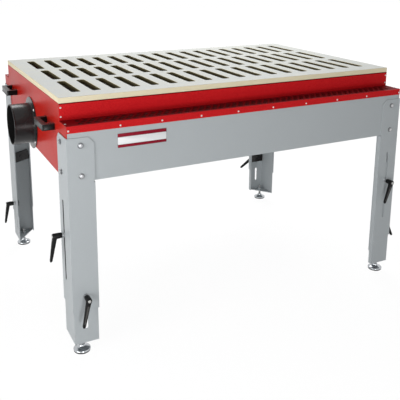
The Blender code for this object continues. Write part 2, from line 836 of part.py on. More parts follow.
def add_casing(table, finishes):
    """The board, the sheet-steel box, the port and the handles."""
    red = finishes["red"]
    grey = finishes["grey"]
    black = finishes["black"]
    dark = finishes["dark"]
    half_turn = 2 * QUARTER_TURN
    piece("work_board", mesh_from("work_board", work_board()), finishes["board"], table)
    for name, build, finish in (
        ("fascia", front_fascia, red),
        ("intake_tray", front_tray, red),
        ("apron", front_apron, grey),
    ):
        mesh = mesh_from(name, build())
        piece(f"front_{name}", mesh, finish, table)
        piece(f"rear_{name}", mesh, finish, table, turn=half_turn)
    left = mesh_from("left_end_panel", end_panel(with_port=True))
    right = mesh_from("right_end_panel", end_panel(with_port=False))
    piece("left_end_panel", left, red, table)
    piece("right_end_panel", right, red, table, turn=half_turn)
    piece("plenum_floor", mesh_from("plenum_floor", plenum_floor()), grey, table)
    rail = mesh_from("cross_rail", cross_rail())
    for name, column in zip(("left", "centre", "right"), RAIL_COLUMNS):
        between_x = slot_column_x(column) - SLOT_PITCH / 2
        piece(f"{name}_cross_rail", rail, grey, table, (between_x, 0, 0))
    port = mesh_from("exhaust_port", exhaust_port())
    piece("exhaust_port", port, dark, table, (-PANEL_X - GAP, 0, PORT_Z))
    handle = mesh_from("handle", bow_handle())
    for end, side_x, turn in (("left", -1, 0), ("right", 1, half_turn)):
        for place, side_y in (("front", -1), ("rear", 1)):
            location = (side_x * (PANEL_X + GAP), side_y * HANDLE_Y, HANDLE_Z)
            piece(f"{end}_{place}_handle", handle, black, table, location, turn)


def leg_meshes(along_x, along_y):
    """The outer and inner leg whose flanges are these two."""
    outer = mesh_from("outer_leg", outer_leg(along_x, along_y))
    inner = mesh_from("inner_leg", inner_leg(along_x, along_y))
    return outer, inner


def add_legs(table, finishes):
    """At each corner: both legs, the clamps, the bolts and the levelling foot."""
    even = (FRONT_FLANGE, SIDE_FLANGE)
    odd = (SIDE_FLANGE, FRONT_FLANGE)
    legs = [leg_meshes(*even), leg_meshes(*odd)]
    lever = mesh_from("clamp_lever", clamp_lever())
    lower_plate = clamp_plate(LOWER_PLATE_SIDE, LOWER_PLATE_SIDE)
    upper_plate = clamp_plate(UPPER_PLATE_WIDTH, UPPER_PLATE_HEIGHT)
    plates = {
        "lower": mesh_from("lower_clamp_plate", lower_plate),
        "upper": mesh_from("upper_clamp_plate", upper_plate),
    }
    bolts = mesh_from("leg_bolts", bolt_pair())
    stem = mesh_from("foot_stem", foot_stem())
    pad = mesh_from("foot_pad", foot_pad())
    for name, side_x, side_y, turns, lower_swing, upper_swing in CORNERS:
        place = (side_x * CORNER_X, side_y * CORNER_Y, 0)
        corner = empty(f"{name}_corner", table, place, turns * QUARTER_TURN)
        swapped = turns % 2
        along_x, along_y = (even, odd)[swapped]
        outer, inner = legs[swapped]
        piece(f"{name}_outer_leg", outer, finishes["grey"], corner)
        piece(f"{name}_inner_leg", inner, finishes["grey"], corner)
        walls = ("panel", "apron") if swapped else ("apron", "panel")
        for level, wall, location, turn, swing in (
            ("lower", walls[0], (along_x[1], 0, LOWER_CLAMP_Z), 0, lower_swing),
            ("upper", walls[1], (0, along_y[1], UPPER_CLAMP_Z), -QUARTER_TURN, upper_swing),
        ):
            first_bolt = (*location[:2], BOLT_Z)
            black = finishes["black"]
            dark = finishes["dark"]
            piece(f"{name}_{level}_lever", lever, black, corner, location, turn, swing)
            piece(f"{name}_{level}_clamp_plate", plates[level], dark, corner, location, turn)
            piece(f"{name}_{wall}_bolts", bolts, finishes["steel"], corner, first_bolt, turn)
        foot = (FOOT_INSET, FOOT_INSET, 0)
        piece(f"{name}_foot_stem", stem, finishes["steel"], corner, foot)
        piece(f"{name}_foot_pad", pad, finishes["steel"], corner, foot)
    return lever


def centre_under_box(table, lever):
    """Moves the table along X so that the origin is under the middle of its outer box."""
    reach = max(-corner.co.y for corner in lever.vertices)
    left = PANEL_X + PORT_REACH
    right = CORNER_X + reach
    table.location.x = (left - right) / 2


def main():
    clear_scene()
    finishes = {
        "board": paint("board_laminate", (0.62, 0.64, 0.63), 0.45, 0),
        "red": paint("red_enamel", (0.52, 0.012, 0.02), 0.4, 0),
        "grey": paint("grey_enamel", (0.38, 0.42, 0.45), 0.45, 0),
        "black": paint("black_plastic", (0.02, 0.02, 0.022), 0.5, 0),
        "dark": paint("black_enamel", (0.014, 0.014, 0.016), 0.3, 0),
        "steel": paint("zinc_plated_steel", (0.6, 0.6, 0.62), 0.3, 1),
    }
    table = empty("table_centre")
    add_casing(table, finishes)
    lever = add_legs(table, finishes)
    centre_under_box(table, lever)


main()
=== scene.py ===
import json
import math

import bmesh
import bpy
import numpy as np
from mathutils import Matrix, Vector


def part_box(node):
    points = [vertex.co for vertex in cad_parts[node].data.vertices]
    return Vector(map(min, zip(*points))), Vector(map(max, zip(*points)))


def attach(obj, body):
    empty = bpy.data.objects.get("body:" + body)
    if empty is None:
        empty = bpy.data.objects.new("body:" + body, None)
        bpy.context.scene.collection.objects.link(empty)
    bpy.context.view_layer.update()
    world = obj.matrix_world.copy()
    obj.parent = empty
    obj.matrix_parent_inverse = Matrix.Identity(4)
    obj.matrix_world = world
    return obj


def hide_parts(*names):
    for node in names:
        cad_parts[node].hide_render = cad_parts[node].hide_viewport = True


# The downdraft table as it looks: a slotted laminate board, red and grey enamelled sheet,
# a black exhaust port, moulded handles and levers, and zinc-plated screws and feet.
# Lengths are in metres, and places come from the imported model's own boxes.

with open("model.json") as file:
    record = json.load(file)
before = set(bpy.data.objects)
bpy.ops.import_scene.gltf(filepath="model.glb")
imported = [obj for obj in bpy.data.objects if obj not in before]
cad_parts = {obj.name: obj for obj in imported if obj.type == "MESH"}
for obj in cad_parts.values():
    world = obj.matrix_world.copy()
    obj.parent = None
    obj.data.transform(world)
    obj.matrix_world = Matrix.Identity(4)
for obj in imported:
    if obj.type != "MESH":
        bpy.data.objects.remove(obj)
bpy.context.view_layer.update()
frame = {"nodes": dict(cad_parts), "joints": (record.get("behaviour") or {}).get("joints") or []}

# Camera, fitted to the photograph
CAMERA_PLACE = (-1.27075, -2.54864, 1.4252)
CAMERA_FORWARD = (0.44722, 0.865248, -0.226583)
CAMERA_RIGHT = (0.889152, -0.457547, 0.007742)
CAMERA_LENS = 56.313
CAMERA_SHIFT_Y = -0.2375

# Work board
SLOT_COLUMNS = 18
SLOT_ROWS = 3
SLOT_HALF_WIDTH = 0.01675
SLOT_HALF_LENGTH = 0.111
SLOT_CORNER = 0.009
SLOT_PITCH = 0.078
SLOT_ROW_PITCH = 0.26698
BOARD_EDGE = 0.001

# Rounded edges of sheet, legs and clamp plates
SHEET_EDGE = 0.00035
LEG_EDGE = 0.0009
PLATE_EDGE = 0.0012

# Distances under which the points of a piece become one
WELD = 0.00001
BOARD_WELD = 0.00002
FINE_WELD = 0.000005
EDGING_WELD = 0.000002

# Diamond perforation of the intake trays, its dark rims of painted shade, and the line of
# painted shadow under the board: where each begins and where it is full
DIAMOND_PITCH = 0.0289
DIAMOND_HALF = 0.0095
DIAMOND_ROW_STEP = 0.02
TRAY_MIDDLE = 0.04465
DIAMOND_RIM = (0.0052, 0.0024)
SHADOW_LINE_DROPS = (0.0048, 0.0018)

# Exhaust port
PORT_RADIUS = 0.083
PORT_BORE = 0.0805
PORT_FLANGE = 0.1075
PORT_RIVET_CIRCLE = 0.096
PORT_BACK = 0.0058
FLANGE_FACE = 0.003

# Handles: widths of the arms and the grip, and the radii of the outline's corners
HANDLE_ARM = 0.016
HANDLE_GRIP = 0.014
HANDLE_RADII = np.array((1, 1, 3, 3, 1, 1, 7, 7)) * 0.001

# Clamping levers: the swing of each from hanging straight down, in degrees, as the packed
# model has it
LEVER_SWING = {
    "front_left_lower": 16,
    "front_right_lower": 25,
    "front_right_upper": 30,
    "rear_right_lower": -50,
}
HUB_RADIUS = 0.0108
HUB_REACH = 0.0438
HUB_START = 0.0088
ARM_DROP = 0.0978
ARM_OUTWARD = 0.0348
ARM_FLARE = 0.0182
ARM_DEPTH = (0.0088, 0.0046)
ARM_WIDTH = (0.0094, 0.0058)
ARM_TIP = 0.008
GROOVE_DEPTH = 0.002
GROOVE_EDGE = 0.56
STUD_END = 0.018

# The clamp plates that show inside the rear legs: the body that each rides, half width and
# half height, the middle's place from the stud, and the turn about it
SEEN_PLATES = (
    ("rear_left_upper", "rear_left_leg", (0.039, 0.025), (0.0025, 0.0), math.radians(12)),
    ("rear_right_lower", "table", (0.0385, 0.0218), (-0.0002, 0.0082), 0.0),
)
SEEN_PLATE_RADII = np.array((3, 3, 6, 8)) * 0.001

# Edging of the outer legs' slots, from the stud at rest
SLOT_BELOW = 0.172
SLOT_ABOVE = 0.128
EDGING_OUTER = 0.00595
EDGING_INNER = 0.00545
EDGING_DEPTH = 0.003

# Rivets: places along the sheets from the board's middle, and drops from the tray's top for
# the lips and from the board's top for the fascias
RIVET_RADIUS = 0.0036
RIVET_RISE = 0.002
RIVET_END = 0.744
RIVET_RUN = -0.558 + 0.1596 * np.arange(8)
LIP_RIVET_DROP = 0.016
TRAY_RIVET_REACH = 0.509
FASCIA_RIVET_DROPS = (0.035, 0.068)

# Name plate: left end and bottom from the board's middle and top, and the length. Each layer
# has a margin at the ends, a bottom and a top, a thickness and the number of its finish.
PLATE_LEFT = -0.57
PLATE_BOTTOM = -0.18
PLATE_LENGTH = 0.189
PLATE_LAYERS = (
    (0.0, 0.0, 0.053, 0.0004, 2),
    (0.0012, 0.012, 0.0385, 0.0007, 0),
    (0.0012, 0.0395, 0.0518, 0.0007, 1),
    (0.0012, 0.0012, 0.011, 0.0007, 1),
)

# Bolts and feet
BOLT_SPACING = 0.11
HEAD_RADIUS = 0.0075
WASHER_RADIUS = 0.0105
STRIP_HALF = 0.013
STEM_RADIUS = 0.006
THREAD_PITCH = 0.00175
THREAD_DEPTH = 0.0008
PAD_RADIUS = 0.032

# Lamps: place, the point that each faces, width, height and power
LAMPS = {
    "front": ((-0.75, -3.1, 0.5), (-0.6, -0.3, 0.5), 0.42, 0.42, 21),
    "left": ((-3.3, -1.7, 1.1), (-0.6, -0.4, 0.5), 2.0, 1.6, 62),
    "top": ((0.8, 1.7, 2.8), (0.2, 0, 0.9), 2.4, 1.2, 58),
}
SKY_STRENGTH = 0.28
FLOOR_HALF = 14.0
FLOOR_GLOW = 0.08
FLOOR_CLEAR = (0.87, 1.0)
FLOOR_FADE = (1.2, 4.0)

SMOOTH_ANGLE = math.radians(35)
ZENITH = np.array((0.0, 0.0, 1.0))
WHITE = (1, 1, 1, 1)
GREY_SPECKLE = ((0.385, 0.415, 0.43), (0.44, 0.47, 0.485))
CORNERS = (
    ("front_left", -1, -1),
    ("front_right", 1, -1),
    ("rear_right", 1, 1),
    ("rear_left", -1, 1),
)


# ---- Surfaces


def ring_quads(rings, count, closed=False):
    """The quads between rings of points that are numbered ring by ring. A closed stack joins
    its last ring to its first."""
    r, c = np.meshgrid(np.arange(rings - (not closed)), np.arange(count), indexing="ij")
    after_r, after_c = (r + 1) % rings, (c + 1) % count
    quads = (r * count + c, r * count + after_c)
    quads += (after_r * count + after_c, after_r * count + c)
    return np.stack(quads, -1).reshape(-1, 4)


def carried_round(radius, height, turn):
    """Points at x = r cos t, y = r sin t and z = height."""
    return np.stack((radius * np.cos(turn), radius * np.sin(turn), height + 0 * turn), -1)


def turned(profile, segments=48, closed=False):
    """A profile of (radius, height) carried round Z."""
    profile = np.asarray(profile, float)
    turn = np.linspace(0, 2 * math.pi, segments, endpoint=False)
    points = carried_round(profile[:, :1], profile[:, 1:], turn)
    return points.reshape(-1, 3), ring_quads(len(profile), segments, closed)


def rounded(outline, radius, steps=5, closed=True):
    """The outline with each corner replaced by a quadratic curve that leaves its two sides
    at the radius, or at 0.45 of a shorter side: (1-t)^2 A + 2t(1-t) P + t^2 B."""
    corner = np.asarray(outline, float)
    before, after = np.roll(corner, 1, 0) - corner, np.roll(corner, -1, 0) - corner
    sides = [np.linalg.norm(side, axis=1, keepdims=True) for side in (before, after)]
    reach = np.minimum(np.reshape(radius, (-1, 1)) + 0 * sides[0], 0.45 * np.minimum(*sides))
    start, end = corner + before / sides[0] * reach, corner + after / sides[1] * reach
    t = np.linspace(0, 1, steps)[:, None, None]
    curve = (1 - t) ** 2 * start + 2 * t * (1 - t) * corner + t ** 2 * end
    curve = np.swapaxes(curve, 0, 1)
    if closed:
        return curve.reshape(-1, corner.shape[1])
    return np.concatenate((corner[:1], curve[1:-1].reshape(-1, corner.shape[1]), corner[-1:]))


def inset(outline, distance):
    """A counterclockwise outline moved inwards, each corner along its mitre."""
    def inward(side):
        normal = np.stack((-side[:, 1], side[:, 0]), -1)
        return normal / np.linalg.norm(normal, axis=1, keepdims=True)

    first = inward(outline - np.roll(outline, 1, 0))
    second = inward(np.roll(outline, -1, 0) - outline)
    mitre = (first + second) / (1 + (first * second).sum(1, keepdims=True))
    return outline + distance * mitre


def at_level(points, level):
    """Points with a last coordinate that is the same for all."""
    return np.column_stack((points, np.full(len(points), level)))


def slab(outline, low, high, edge, steps=3):
    """An outline carried from low to high, its rims rounded: a ring at angle a of a rim lies
    edge (1 - sin a) inside the outline and edge (1 - cos a) from the face's level."""
    angle = np.linspace(0, math.pi / 2, steps + 1)
    inwards, rise = edge * (1 - np.sin(angle)), edge * (1 - np.cos(angle))
    depths = np.concatenate((inwards, inwards[::-1]))
    levels = np.concatenate((low + rise, high - rise[::-1]))
    rings = [at_level(inset(outline, depth), z) for depth, z in zip(depths, levels)]
    count, last = len(outline), (len(rings) - 1) * len(outline)
    quads = ring_quads(len(rings), count).tolist()
    caps = [list(range(count))[::-1], list(range(last, last + count))]
    return np.concatenate(rings), quads + caps


def make_mesh(name, patches, merge):
    """One mesh from (points, faces, finish number) patches: doubles merged, faces outwards."""
    points, faces, finish, first = [], [], [], 0
    for patch in patches:
        found, quads, number = (*patch, 0)[:3]
        numbers = quads.tolist() if isinstance(quads, np.ndarray) else quads
        faces += [[first + i for i in face] for face in numbers]
        finish += list(np.broadcast_to(number, len(numbers)))
        points.append(found)
        first += len(found)
    mesh = bpy.data.meshes.new(name)
    mesh.from_pydata(np.concatenate(points).tolist(), [], faces)
    mesh.polygons.foreach_set("material_index", np.array(finish, np.int32))
    shape = bmesh.new()
    shape.from_mesh(mesh)
    bmesh.ops.remove_doubles(shape, verts=shape.verts, dist=merge)
    bmesh.ops.recalc_face_normals(shape, faces=shape.faces)
    shape.to_mesh(mesh)
    shape.free()
    mesh.shade_smooth()
    mesh.set_sharp_from_angle(angle=SMOOTH_ANGLE)
    return mesh


def new_object(name, data):
    made = bpy.data.objects.new(name, data)
    bpy.context.scene.collection.objects.link(made)
    return made


def adjust(thing, **settings):
    """Settings of a node, a modifier, a lamp or a camera."""
    for key, value in settings.items():
        setattr(thing, key, value)


def add_piece(name, body, patches, finishes, stands_for=(), merge=WELD):
    """A finished piece that rides a body, with its finishes in order."""
    mesh = make_mesh(name, patches, merge)
    for finish in finishes:
        mesh.materials.append(finish)
    piece = new_object(name, mesh)
    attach(piece, body)
    if stands_for:
        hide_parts(*stands_for)


def wall_axes(outward):
    """Rows that carry (along, outward, up) to world directions on an upright wall."""
    outward = np.array(outward, float)
    return np.stack((np.cross(-outward, ZENITH), outward, ZENITH))


def on_wall(points, origin, outward):
    """Points of (along, outward, up) from an origin on an upright wall."""
    return points @ wall_axes(outward) + np.asarray(origin, float)


def upright(points):
    """Points of (along, up, outward) as (along, outward, up)."""
    return points[:, [0, 2, 1]]


def along_axle(surface):
    """A turned surface, its axis laid along the outward direction of a wall."""
    points, faces = surface
    return upright(points), faces


def box_of(node):
    """The low and the high corner of a node's box."""
    return [np.array(corner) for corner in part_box(node)]


def leg_face(corner, outward, node):
    """The point on an outer leg's face that lies outwards of the middle of a node."""
    (low, high), (leg_low, leg_high) = box_of(node), box_of(f"{corner}_outer_leg")
    outward = np.asarray(outward, float)
    face = np.where(outward > 0, leg_high, leg_low)
    return np.where(np.abs(outward) > 0.5, face, (low + high) / 2)


BOARD_LOW, BOARD_HIGH = box_of("work_board")
BOARD_MIDDLE = (BOARD_LOW + BOARD_HIGH) / 2


# ---- Shader groups


def new_group(name, numbers, results):
    """An empty shader group: a Vector and named numbers go in, and named numbers come out."""
    tree = bpy.data.node_groups.new(name, "ShaderNodeTree")
    tree.interface.new_socket("Vector", in_out="INPUT", socket_type="NodeSocketVector")
    for label, value in numbers.items():
        socket = tree.interface.new_socket(label, in_out="INPUT", socket_type="NodeSocketFloat")
        socket.default_value = value
    for label in results:
        tree.interface.new_socket(label, in_out="OUTPUT", socket_type="NodeSocketFloat")
    inside = tree.nodes.new("NodeGroupInput").outputs
    return tree, inside, tree.nodes.new("NodeGroupOutput").inputs


def feed(tree, sockets, values):
    """Each named or numbered socket, linked to another socket or set to a plain value."""
    for key, value in values.items():
        if isinstance(value, bpy.types.NodeSocket):
            tree.links.new(value, sockets[key])
        else:
            sockets[key].default_value = value


def add_node(tree, kind, inputs=None, **settings):
    """A node with its settings and what its sockets take."""
    node = tree.nodes.new(kind)
    adjust(node, **settings)
    feed(tree, node.inputs, inputs or {})
    return node


def noise(tree, vector, scale, detail=2.0, roughness=0.5):
    inputs = {"Vector": vector, "Scale": scale, "Detail": detail, "Roughness": roughness}
    return add_node(tree, "ShaderNodeTexNoise", inputs).outputs[0]


def stretched(tree, vector, scale, rotation=(0, 0, 0)):
    inputs = {"Vector": vector, "Rotation": rotation, "Scale": scale}
    return add_node(tree, "ShaderNodeMapping", inputs).outputs[0]


def coordinate(tree, vector, axis="Z"):
    return add_node(tree, "ShaderNodeSeparateXYZ", {"Vector": vector}).outputs[axis]


def remap(tree, value, low, high, to_low=0.0, to_high=1.0):
    """A value carried evenly from one range to another, and held at its ends."""
    node = add_node(
        tree, "ShaderNodeMapRange",
        {"Value": value, "From Min": low, "From Max": high, "To Min": to_low, "To Max": to_high},
    )
    return node.outputs["Result"]


def blend(tree, factor, first, second):
    """A colour mix by a factor. Each side is a socket or a colour."""
    sides = [(*side, 1) if isinstance(side, tuple) else side for side in (first, second)]
    inputs = dict(zip((0, 6, 7), (factor, *sides)))
    return add_node(tree, "ShaderNodeMix", inputs, data_type="RGBA").outputs[2]


def tinted(tree, tone, colour, mask, amount):
    """A tone that goes towards a colour by a mask times an amount."""
    return blend(tree, maths(tree, "MULTIPLY", mask, amount), tone, colour)


def maths(tree, operation, *operands):
    inputs = dict(enumerate(operands))
    return add_node(tree, "ShaderNodeMath", inputs, operation=operation).outputs[0]


def sprayed_coat_group():
    """Powder coat: a fine speckle, broad clouds of tone and the height of its orange peel."""
    results = ("Speckle", "Cloud", "Height")
    tree, inside, outside = new_group("sprayed_coat", {"Grain": 520.0}, results)
    vector, grain = inside["Vector"], inside["Grain"]
    fine = noise(tree, vector, grain, 1.0)
    finer = noise(tree, vector, maths(tree, "MULTIPLY", grain, 2.3), 1.0)
    speckle = remap(tree, maths(tree, "ADD", fine, finer), 0.72, 1.28)
    cloud = remap(tree, noise(tree, vector, 3.2, 3.0), 0.3, 0.7)
    feed(tree, outside, {"Speckle": speckle, "Cloud": cloud, "Height": fine})
    return tree


def handling_group():
    """Handling marks: soft smudges, and short fine scratches inside them."""
    tree, inside, outside = new_group("handling_marks", {"Amount": 0.5}, ("Smudge", "Scratch"))
    vector, amount = inside["Vector"], inside["Amount"]
    smudge = remap(tree, noise(tree, vector, 9.0, 4.0, 0.6), 0.45, 0.75)
    streaks = stretched(tree, vector, (30.0, 420.0, 420.0), (0.4, 0.7, 0.5))
    scratch = remap(tree, noise(tree, streaks, 1.0, 2.0), 0.66, 0.78)
    worn = maths(tree, "MULTIPLY", scratch, smudge)
    for label, mask in (("Smudge", smudge), ("Scratch", worn)):
        feed(tree, outside, {label: maths(tree, "MULTIPLY", mask, amount)})
    return tree


def plywood_group():
    """Cut plywood: stripes of plies across its thickness, and grain that runs along it."""
    tree, inside, outside = new_group("plywood_layers", {}, ("Ply", "Grain"))
    vector = inside["Vector"]
    waver = maths(tree, "MULTIPLY", noise(tree, vector, 24.0, 2.0), 0.0012)
    height = maths(tree, "ADD", coordinate(tree, vector), waver)
    wave = maths(tree, "SINE", maths(tree, "MULTIPLY", height, 1850.0))
    grain = noise(tree, stretched(tree, vector, (60.0, 60.0, 1400.0)), 1.0, 4.0, 0.65)
    grain = remap(tree, grain, 0.3, 0.7)
    feed(tree, outside, {"Ply": remap(tree, wave, -0.6, 0.9), "Grain": grain})
    return tree


# ---- Materials


def new_material(name, roughness, metallic=0.0, specular=0.5):
    """A Principled material, its node tree and the Object coordinates that it reads."""
    material = bpy.data.materials.new(name)
    material.use_nodes = True
    tree = material.node_tree
    gloss = {"Roughness": roughness, "Metallic": metallic, "Specular IOR Level": specular}
    feed(tree, tree.nodes["Principled BSDF"].inputs, gloss)
    return material, tree, tree.nodes.new("ShaderNodeTexCoord").outputs["Object"]


def use_group(tree, group, vector, **values):
    inputs = {"Vector": vector, **values}
    return add_node(tree, "ShaderNodeGroup", inputs, node_tree=group).outputs


def dress(material, tone, gloss, height, strength, distance=0.0004):
    """The material with its colour, its roughness and a bump from a height."""
    tree = material.node_tree
    bump = {"Height": height, "Strength": strength, "Distance": distance}
    normal = add_node(tree, "ShaderNodeBump", bump).outputs["Normal"]
    looks = {"Base Color": tone, "Roughness": gloss, "Normal": normal}
    feed(tree, tree.nodes["Principled BSDF"].inputs, looks)
    return material


def enamel(name, colour, dark, light, roughness, peel=0.25, grain=520.0, specular=0.5, painted_shadow_top=None):
    """Sprayed enamel: its colour between a darker and a lighter speckle, with orange peel.
    Given a sheet's top edge, a dark line of painted shadow lies just under it, below the board."""
    material, tree, place = new_material(name, roughness, specular=specular)
    coat = use_group(tree, COAT, place, Grain=grain)
    handled = use_group(tree, HANDLING, place, Amount=0.5)
    tone = blend(tree, coat["Speckle"], dark, light)
    tone = tinted(tree, tone, colour, coat["Cloud"], 0.35)
    # painted shadow: a dark line just below the sheet's top edge, where the board's shadow falls
    if painted_shadow_top:
        begins, full = (painted_shadow_top - drop for drop in SHADOW_LINE_DROPS)
        line = remap(tree, coordinate(tree, place), begins, full, 0.0, 0.85)
        tone = blend(tree, line, tone, (0.05, 0.002, 0.002))
    gloss = remap(tree, handled["Smudge"], 0, 1, roughness, roughness + 0.12)
    return dress(material, tone, gloss, coat["Height"], peel)


def inside_shaded_sheet():
    """The floor of the extraction box: grey enamel below, and a near-black top of painted shade."""
    material, tree, place = new_material("inside_shaded_sheet", 0.6, specular=0.2)
    bottom = box_of("plenum_floor")[0][2]
    coat = use_group(tree, COAT, place, Grain=520.0)
    above = remap(tree, coordinate(tree, place), bottom + 0.0005, bottom + 0.001)
    grey = blend(tree, coat["Speckle"], *GREY_SPECKLE)
    inside_shade = blend(tree, coat["Cloud"], (0.02, 0.018, 0.015), (0.034, 0.03, 0.024))
    # painted shade: the top face is near-black so the box's inside looks dark through slots and
    # holes
    tone = blend(tree, above, grey, inside_shade)
    return dress(material, tone, 0.6, coat["Height"], 0.3)


def shaded_tray():
    """The intake trays: red enamel on the lip and the ends, and on top a dark red of painted
    shade, darker still round the diamonds. A point's way to the nearest diamond is
    |x| + |y| from the nearest centre of the outer rows or of the staggered middle row."""
    material, tree, place = new_material("shaded_tray", 0.34, specular=0.05)
    low, high = box_of("front_intake_tray")
    lip = max(abs(low[1]), abs(high[1]))
    coat = use_group(tree, COAT, place, Grain=430.0)
    handled = use_group(tree, HANDLING, place, Amount=0.5)
    outwards = maths(tree, "ABSOLUTE", coordinate(tree, place, "Y"))
    above = remap(tree, coordinate(tree, place), high[2] - 0.0016, high[2] - 0.0006)
    inside = remap(tree, outwards, lip - 0.0012, lip - 0.006)
    # painted shade: the tray's top inside the lip is darkened, as if in the fascia's and board's
    # shadow
    painted_shade = maths(tree, "MULTIPLY", above, inside)
    unshaded = blend(tree, coat["Speckle"], (0.45, 0.006, 0.01), (0.66, 0.021, 0.023))
    in_shade = blend(tree, coat["Cloud"], (0.2, 0.003, 0.006), (0.26, 0.004, 0.008))
    middle = (low[0] + high[0]) / 2
    along = maths(tree, "SUBTRACT", coordinate(tree, place, "X"), middle)
    reach = maths(tree, "ABSOLUTE", along)
    across = maths(tree, "SUBTRACT", outwards, lip - TRAY_MIDDLE)
    across = maths(tree, "ABSOLUTE", across)
    begins, full = (DIAMOND_HALF + margin for margin in DIAMOND_RIM)
    rims = []
    for row, stagger, columns in ((DIAMOND_ROW_STEP, 0.0, 48), (0.0, 0.5, 47)):
        turns = maths(tree, "DIVIDE", along, DIAMOND_PITCH)
        turns = maths(tree, "PINGPONG", maths(tree, "ADD", turns, stagger), 0.5)
        run = maths(tree, "MULTIPLY", turns, DIAMOND_PITCH)
        away = maths(tree, "ABSOLUTE", maths(tree, "SUBTRACT", across, row))
        near = remap(tree, maths(tree, "ADD", run, away), begins, full)
        end = (columns / 2) * DIAMOND_PITCH + DIAMOND_HALF
        held = maths(tree, "LESS_THAN", reach, end)
        rims.append(maths(tree, "MULTIPLY", near, held))
    rim = maths(tree, "MAXIMUM", *rims)
    # painted shade: darker rims round the diamonds, spreading the dark seen through the holes
    in_shade = tinted(tree, in_shade, (0.024, 0.002, 0.003), rim, 0.9)
    tone = blend(tree, painted_shade, unshaded, in_shade)
    gloss = remap(tree, handled["Smudge"], 0, 1, 0.28, 0.4)
    gloss = maths(tree, "ADD", gloss, maths(tree, "MULTIPLY", painted_shade, 0.25))
    return dress(material, tone, gloss, coat["Height"], 0.25)


def plated(name, colour, shade, roughness):
    """Plated steel: a cloudy metal with a fine grain in its gloss."""
    material, tree, place = new_material(name, roughness, 1.0)
    coat = use_group(tree, COAT, place, Grain=900.0)
    tone = blend(tree, coat["Cloud"], colour, shade)
    gloss = remap(tree, coat["Speckle"], 0, 1, roughness - 0.06, roughness + 0.1)
    return dress(material, tone, gloss, coat["Height"], 0.12, 0.0002)


def moulded(name, colour, worn, roughness, grain=1300.0, specular=0.2):
    """Moulded plastic: an eroded fine grain, with handling marks that polish it."""
    material, tree, place = new_material(name, roughness, specular=specular)
    coat = use_group(tree, COAT, place, Grain=grain)
    handled = use_group(tree, HANDLING, place, Amount=0.8)
    tone = blend(tree, handled["Smudge"], colour, worn)
    gloss = remap(tree, coat["Speckle"], 0, 1, roughness - 0.05, roughness + 0.08)
    return dress(material, tone, gloss, coat["Height"], 0.3, 0.0002)


def laminate():
    """Pale laminate: a fine mottle on a warm grey, with faint use marks."""
    material, tree, place = new_material("board_laminate", 0.42, specular=0.3)
    coat = use_group(tree, COAT, place, Grain=700.0)
    handled = use_group(tree, HANDLING, place, Amount=0.6)
    tone = blend(tree, coat["Speckle"], (0.58, 0.6, 0.56), (0.72, 0.74, 0.71))
    patchy = remap(tree, noise(tree, place, 17.0, 3.0, 0.6), 0.38, 0.66)
    tone = tinted(tree, tone, (0.71, 0.7, 0.6), patchy, 0.5)
    tone = tinted(tree, tone, (0.6, 0.64, 0.66), coat["Cloud"], 0.3)
    tone = blend(tree, handled["Scratch"], tone, (0.5, 0.5, 0.46))
    gloss = remap(tree, handled["Smudge"], 0, 1, 0.38, 0.52)
    return dress(material, tone, gloss, coat["Height"], 0.1, 0.0002)


def cut_ply(name, pale, deep, line, roughness, painted_shade=None):
    """The cut edge of the board: plies from pale to deep, with dark glue lines and grain.
    A darker colour may be given that a slot's wall takes towards the underside: painted shade."""
    material, tree, place = new_material(name, roughness, specular=0.2)
    layers = use_group(tree, PLYWOOD, place)
    tone = blend(tree, layers["Ply"], deep, pale)
    tone = tinted(tree, tone, line, layers["Grain"], 0.35)
    # painted shade: the wall darkens towards the underside
    if painted_shade:
        top = BOARD_HIGH[2]
        in_shade = remap(tree, coordinate(tree, place), top - 0.001, top - 0.012)
        tone = blend(tree, in_shade, tone, painted_shade)
    return dress(material, tone, roughness, layers["Grain"], 0.25, 0.0003)


COAT = sprayed_coat_group()
HANDLING = handling_group()
PLYWOOD = plywood_group()

# The fascias' red, with a line of painted shadow under the board
RED = enamel(
    "red_enamel", (0.6, 0.007, 0.013), (0.5, 0.004, 0.009), (0.75, 0.022, 0.024), 0.28,
    peel=0.16, grain=430.0, specular=0.05, painted_shadow_top=box_of("front_fascia")[1][2],
)
GREY = enamel("grey_enamel", (0.41, 0.44, 0.455), *GREY_SPECKLE, 0.42, specular=0.3)
# The end panels' red: a darker copy of the fascias' red enamel, painted shade on the ends
SHADED_PANEL_RED = enamel(
    "panel_red_shaded", (0.47, 0.013, 0.008), (0.4, 0.009, 0.006), (0.56, 0.022, 0.013), 0.28,
    peel=0.14, grain=480.0, specular=0.04,
)
FLOOR_SHEET = inside_shaded_sheet()
TRAY_RED = shaded_tray()
BLACK_ENAMEL = enamel(
    "black_enamel", (0.008, 0.007, 0.007), (0.006, 0.005, 0.006), (0.011, 0.01, 0.01), 0.24,
    specular=0.32,
)
BORE = enamel(
    "duct_bore", (0.006, 0.006, 0.006), (0.005, 0.005, 0.005), (0.008, 0.008, 0.008), 0.6,
    specular=0.1,
)
BLACK_PLASTIC = moulded(
    "black_plastic", (0.007, 0.007, 0.0073), (0.014, 0.014, 0.015), 0.24, specular=0.14,
)
# A lighter plastic for the levers' grooves: a painted highlight for light caught in the groove
GROOVE_HIGHLIGHT_PLASTIC = moulded(
    "groove_highlight_plastic", (0.066, 0.064, 0.061), (0.09, 0.088, 0.084), 0.34, specular=0.2,
)
RUBBER = moulded("black_rubber", (0.02, 0.02, 0.02), (0.035, 0.035, 0.034), 0.7, 800.0)
ZINC = plated("zinc_plate", (0.37, 0.38, 0.4), (0.47, 0.47, 0.46), 0.28)
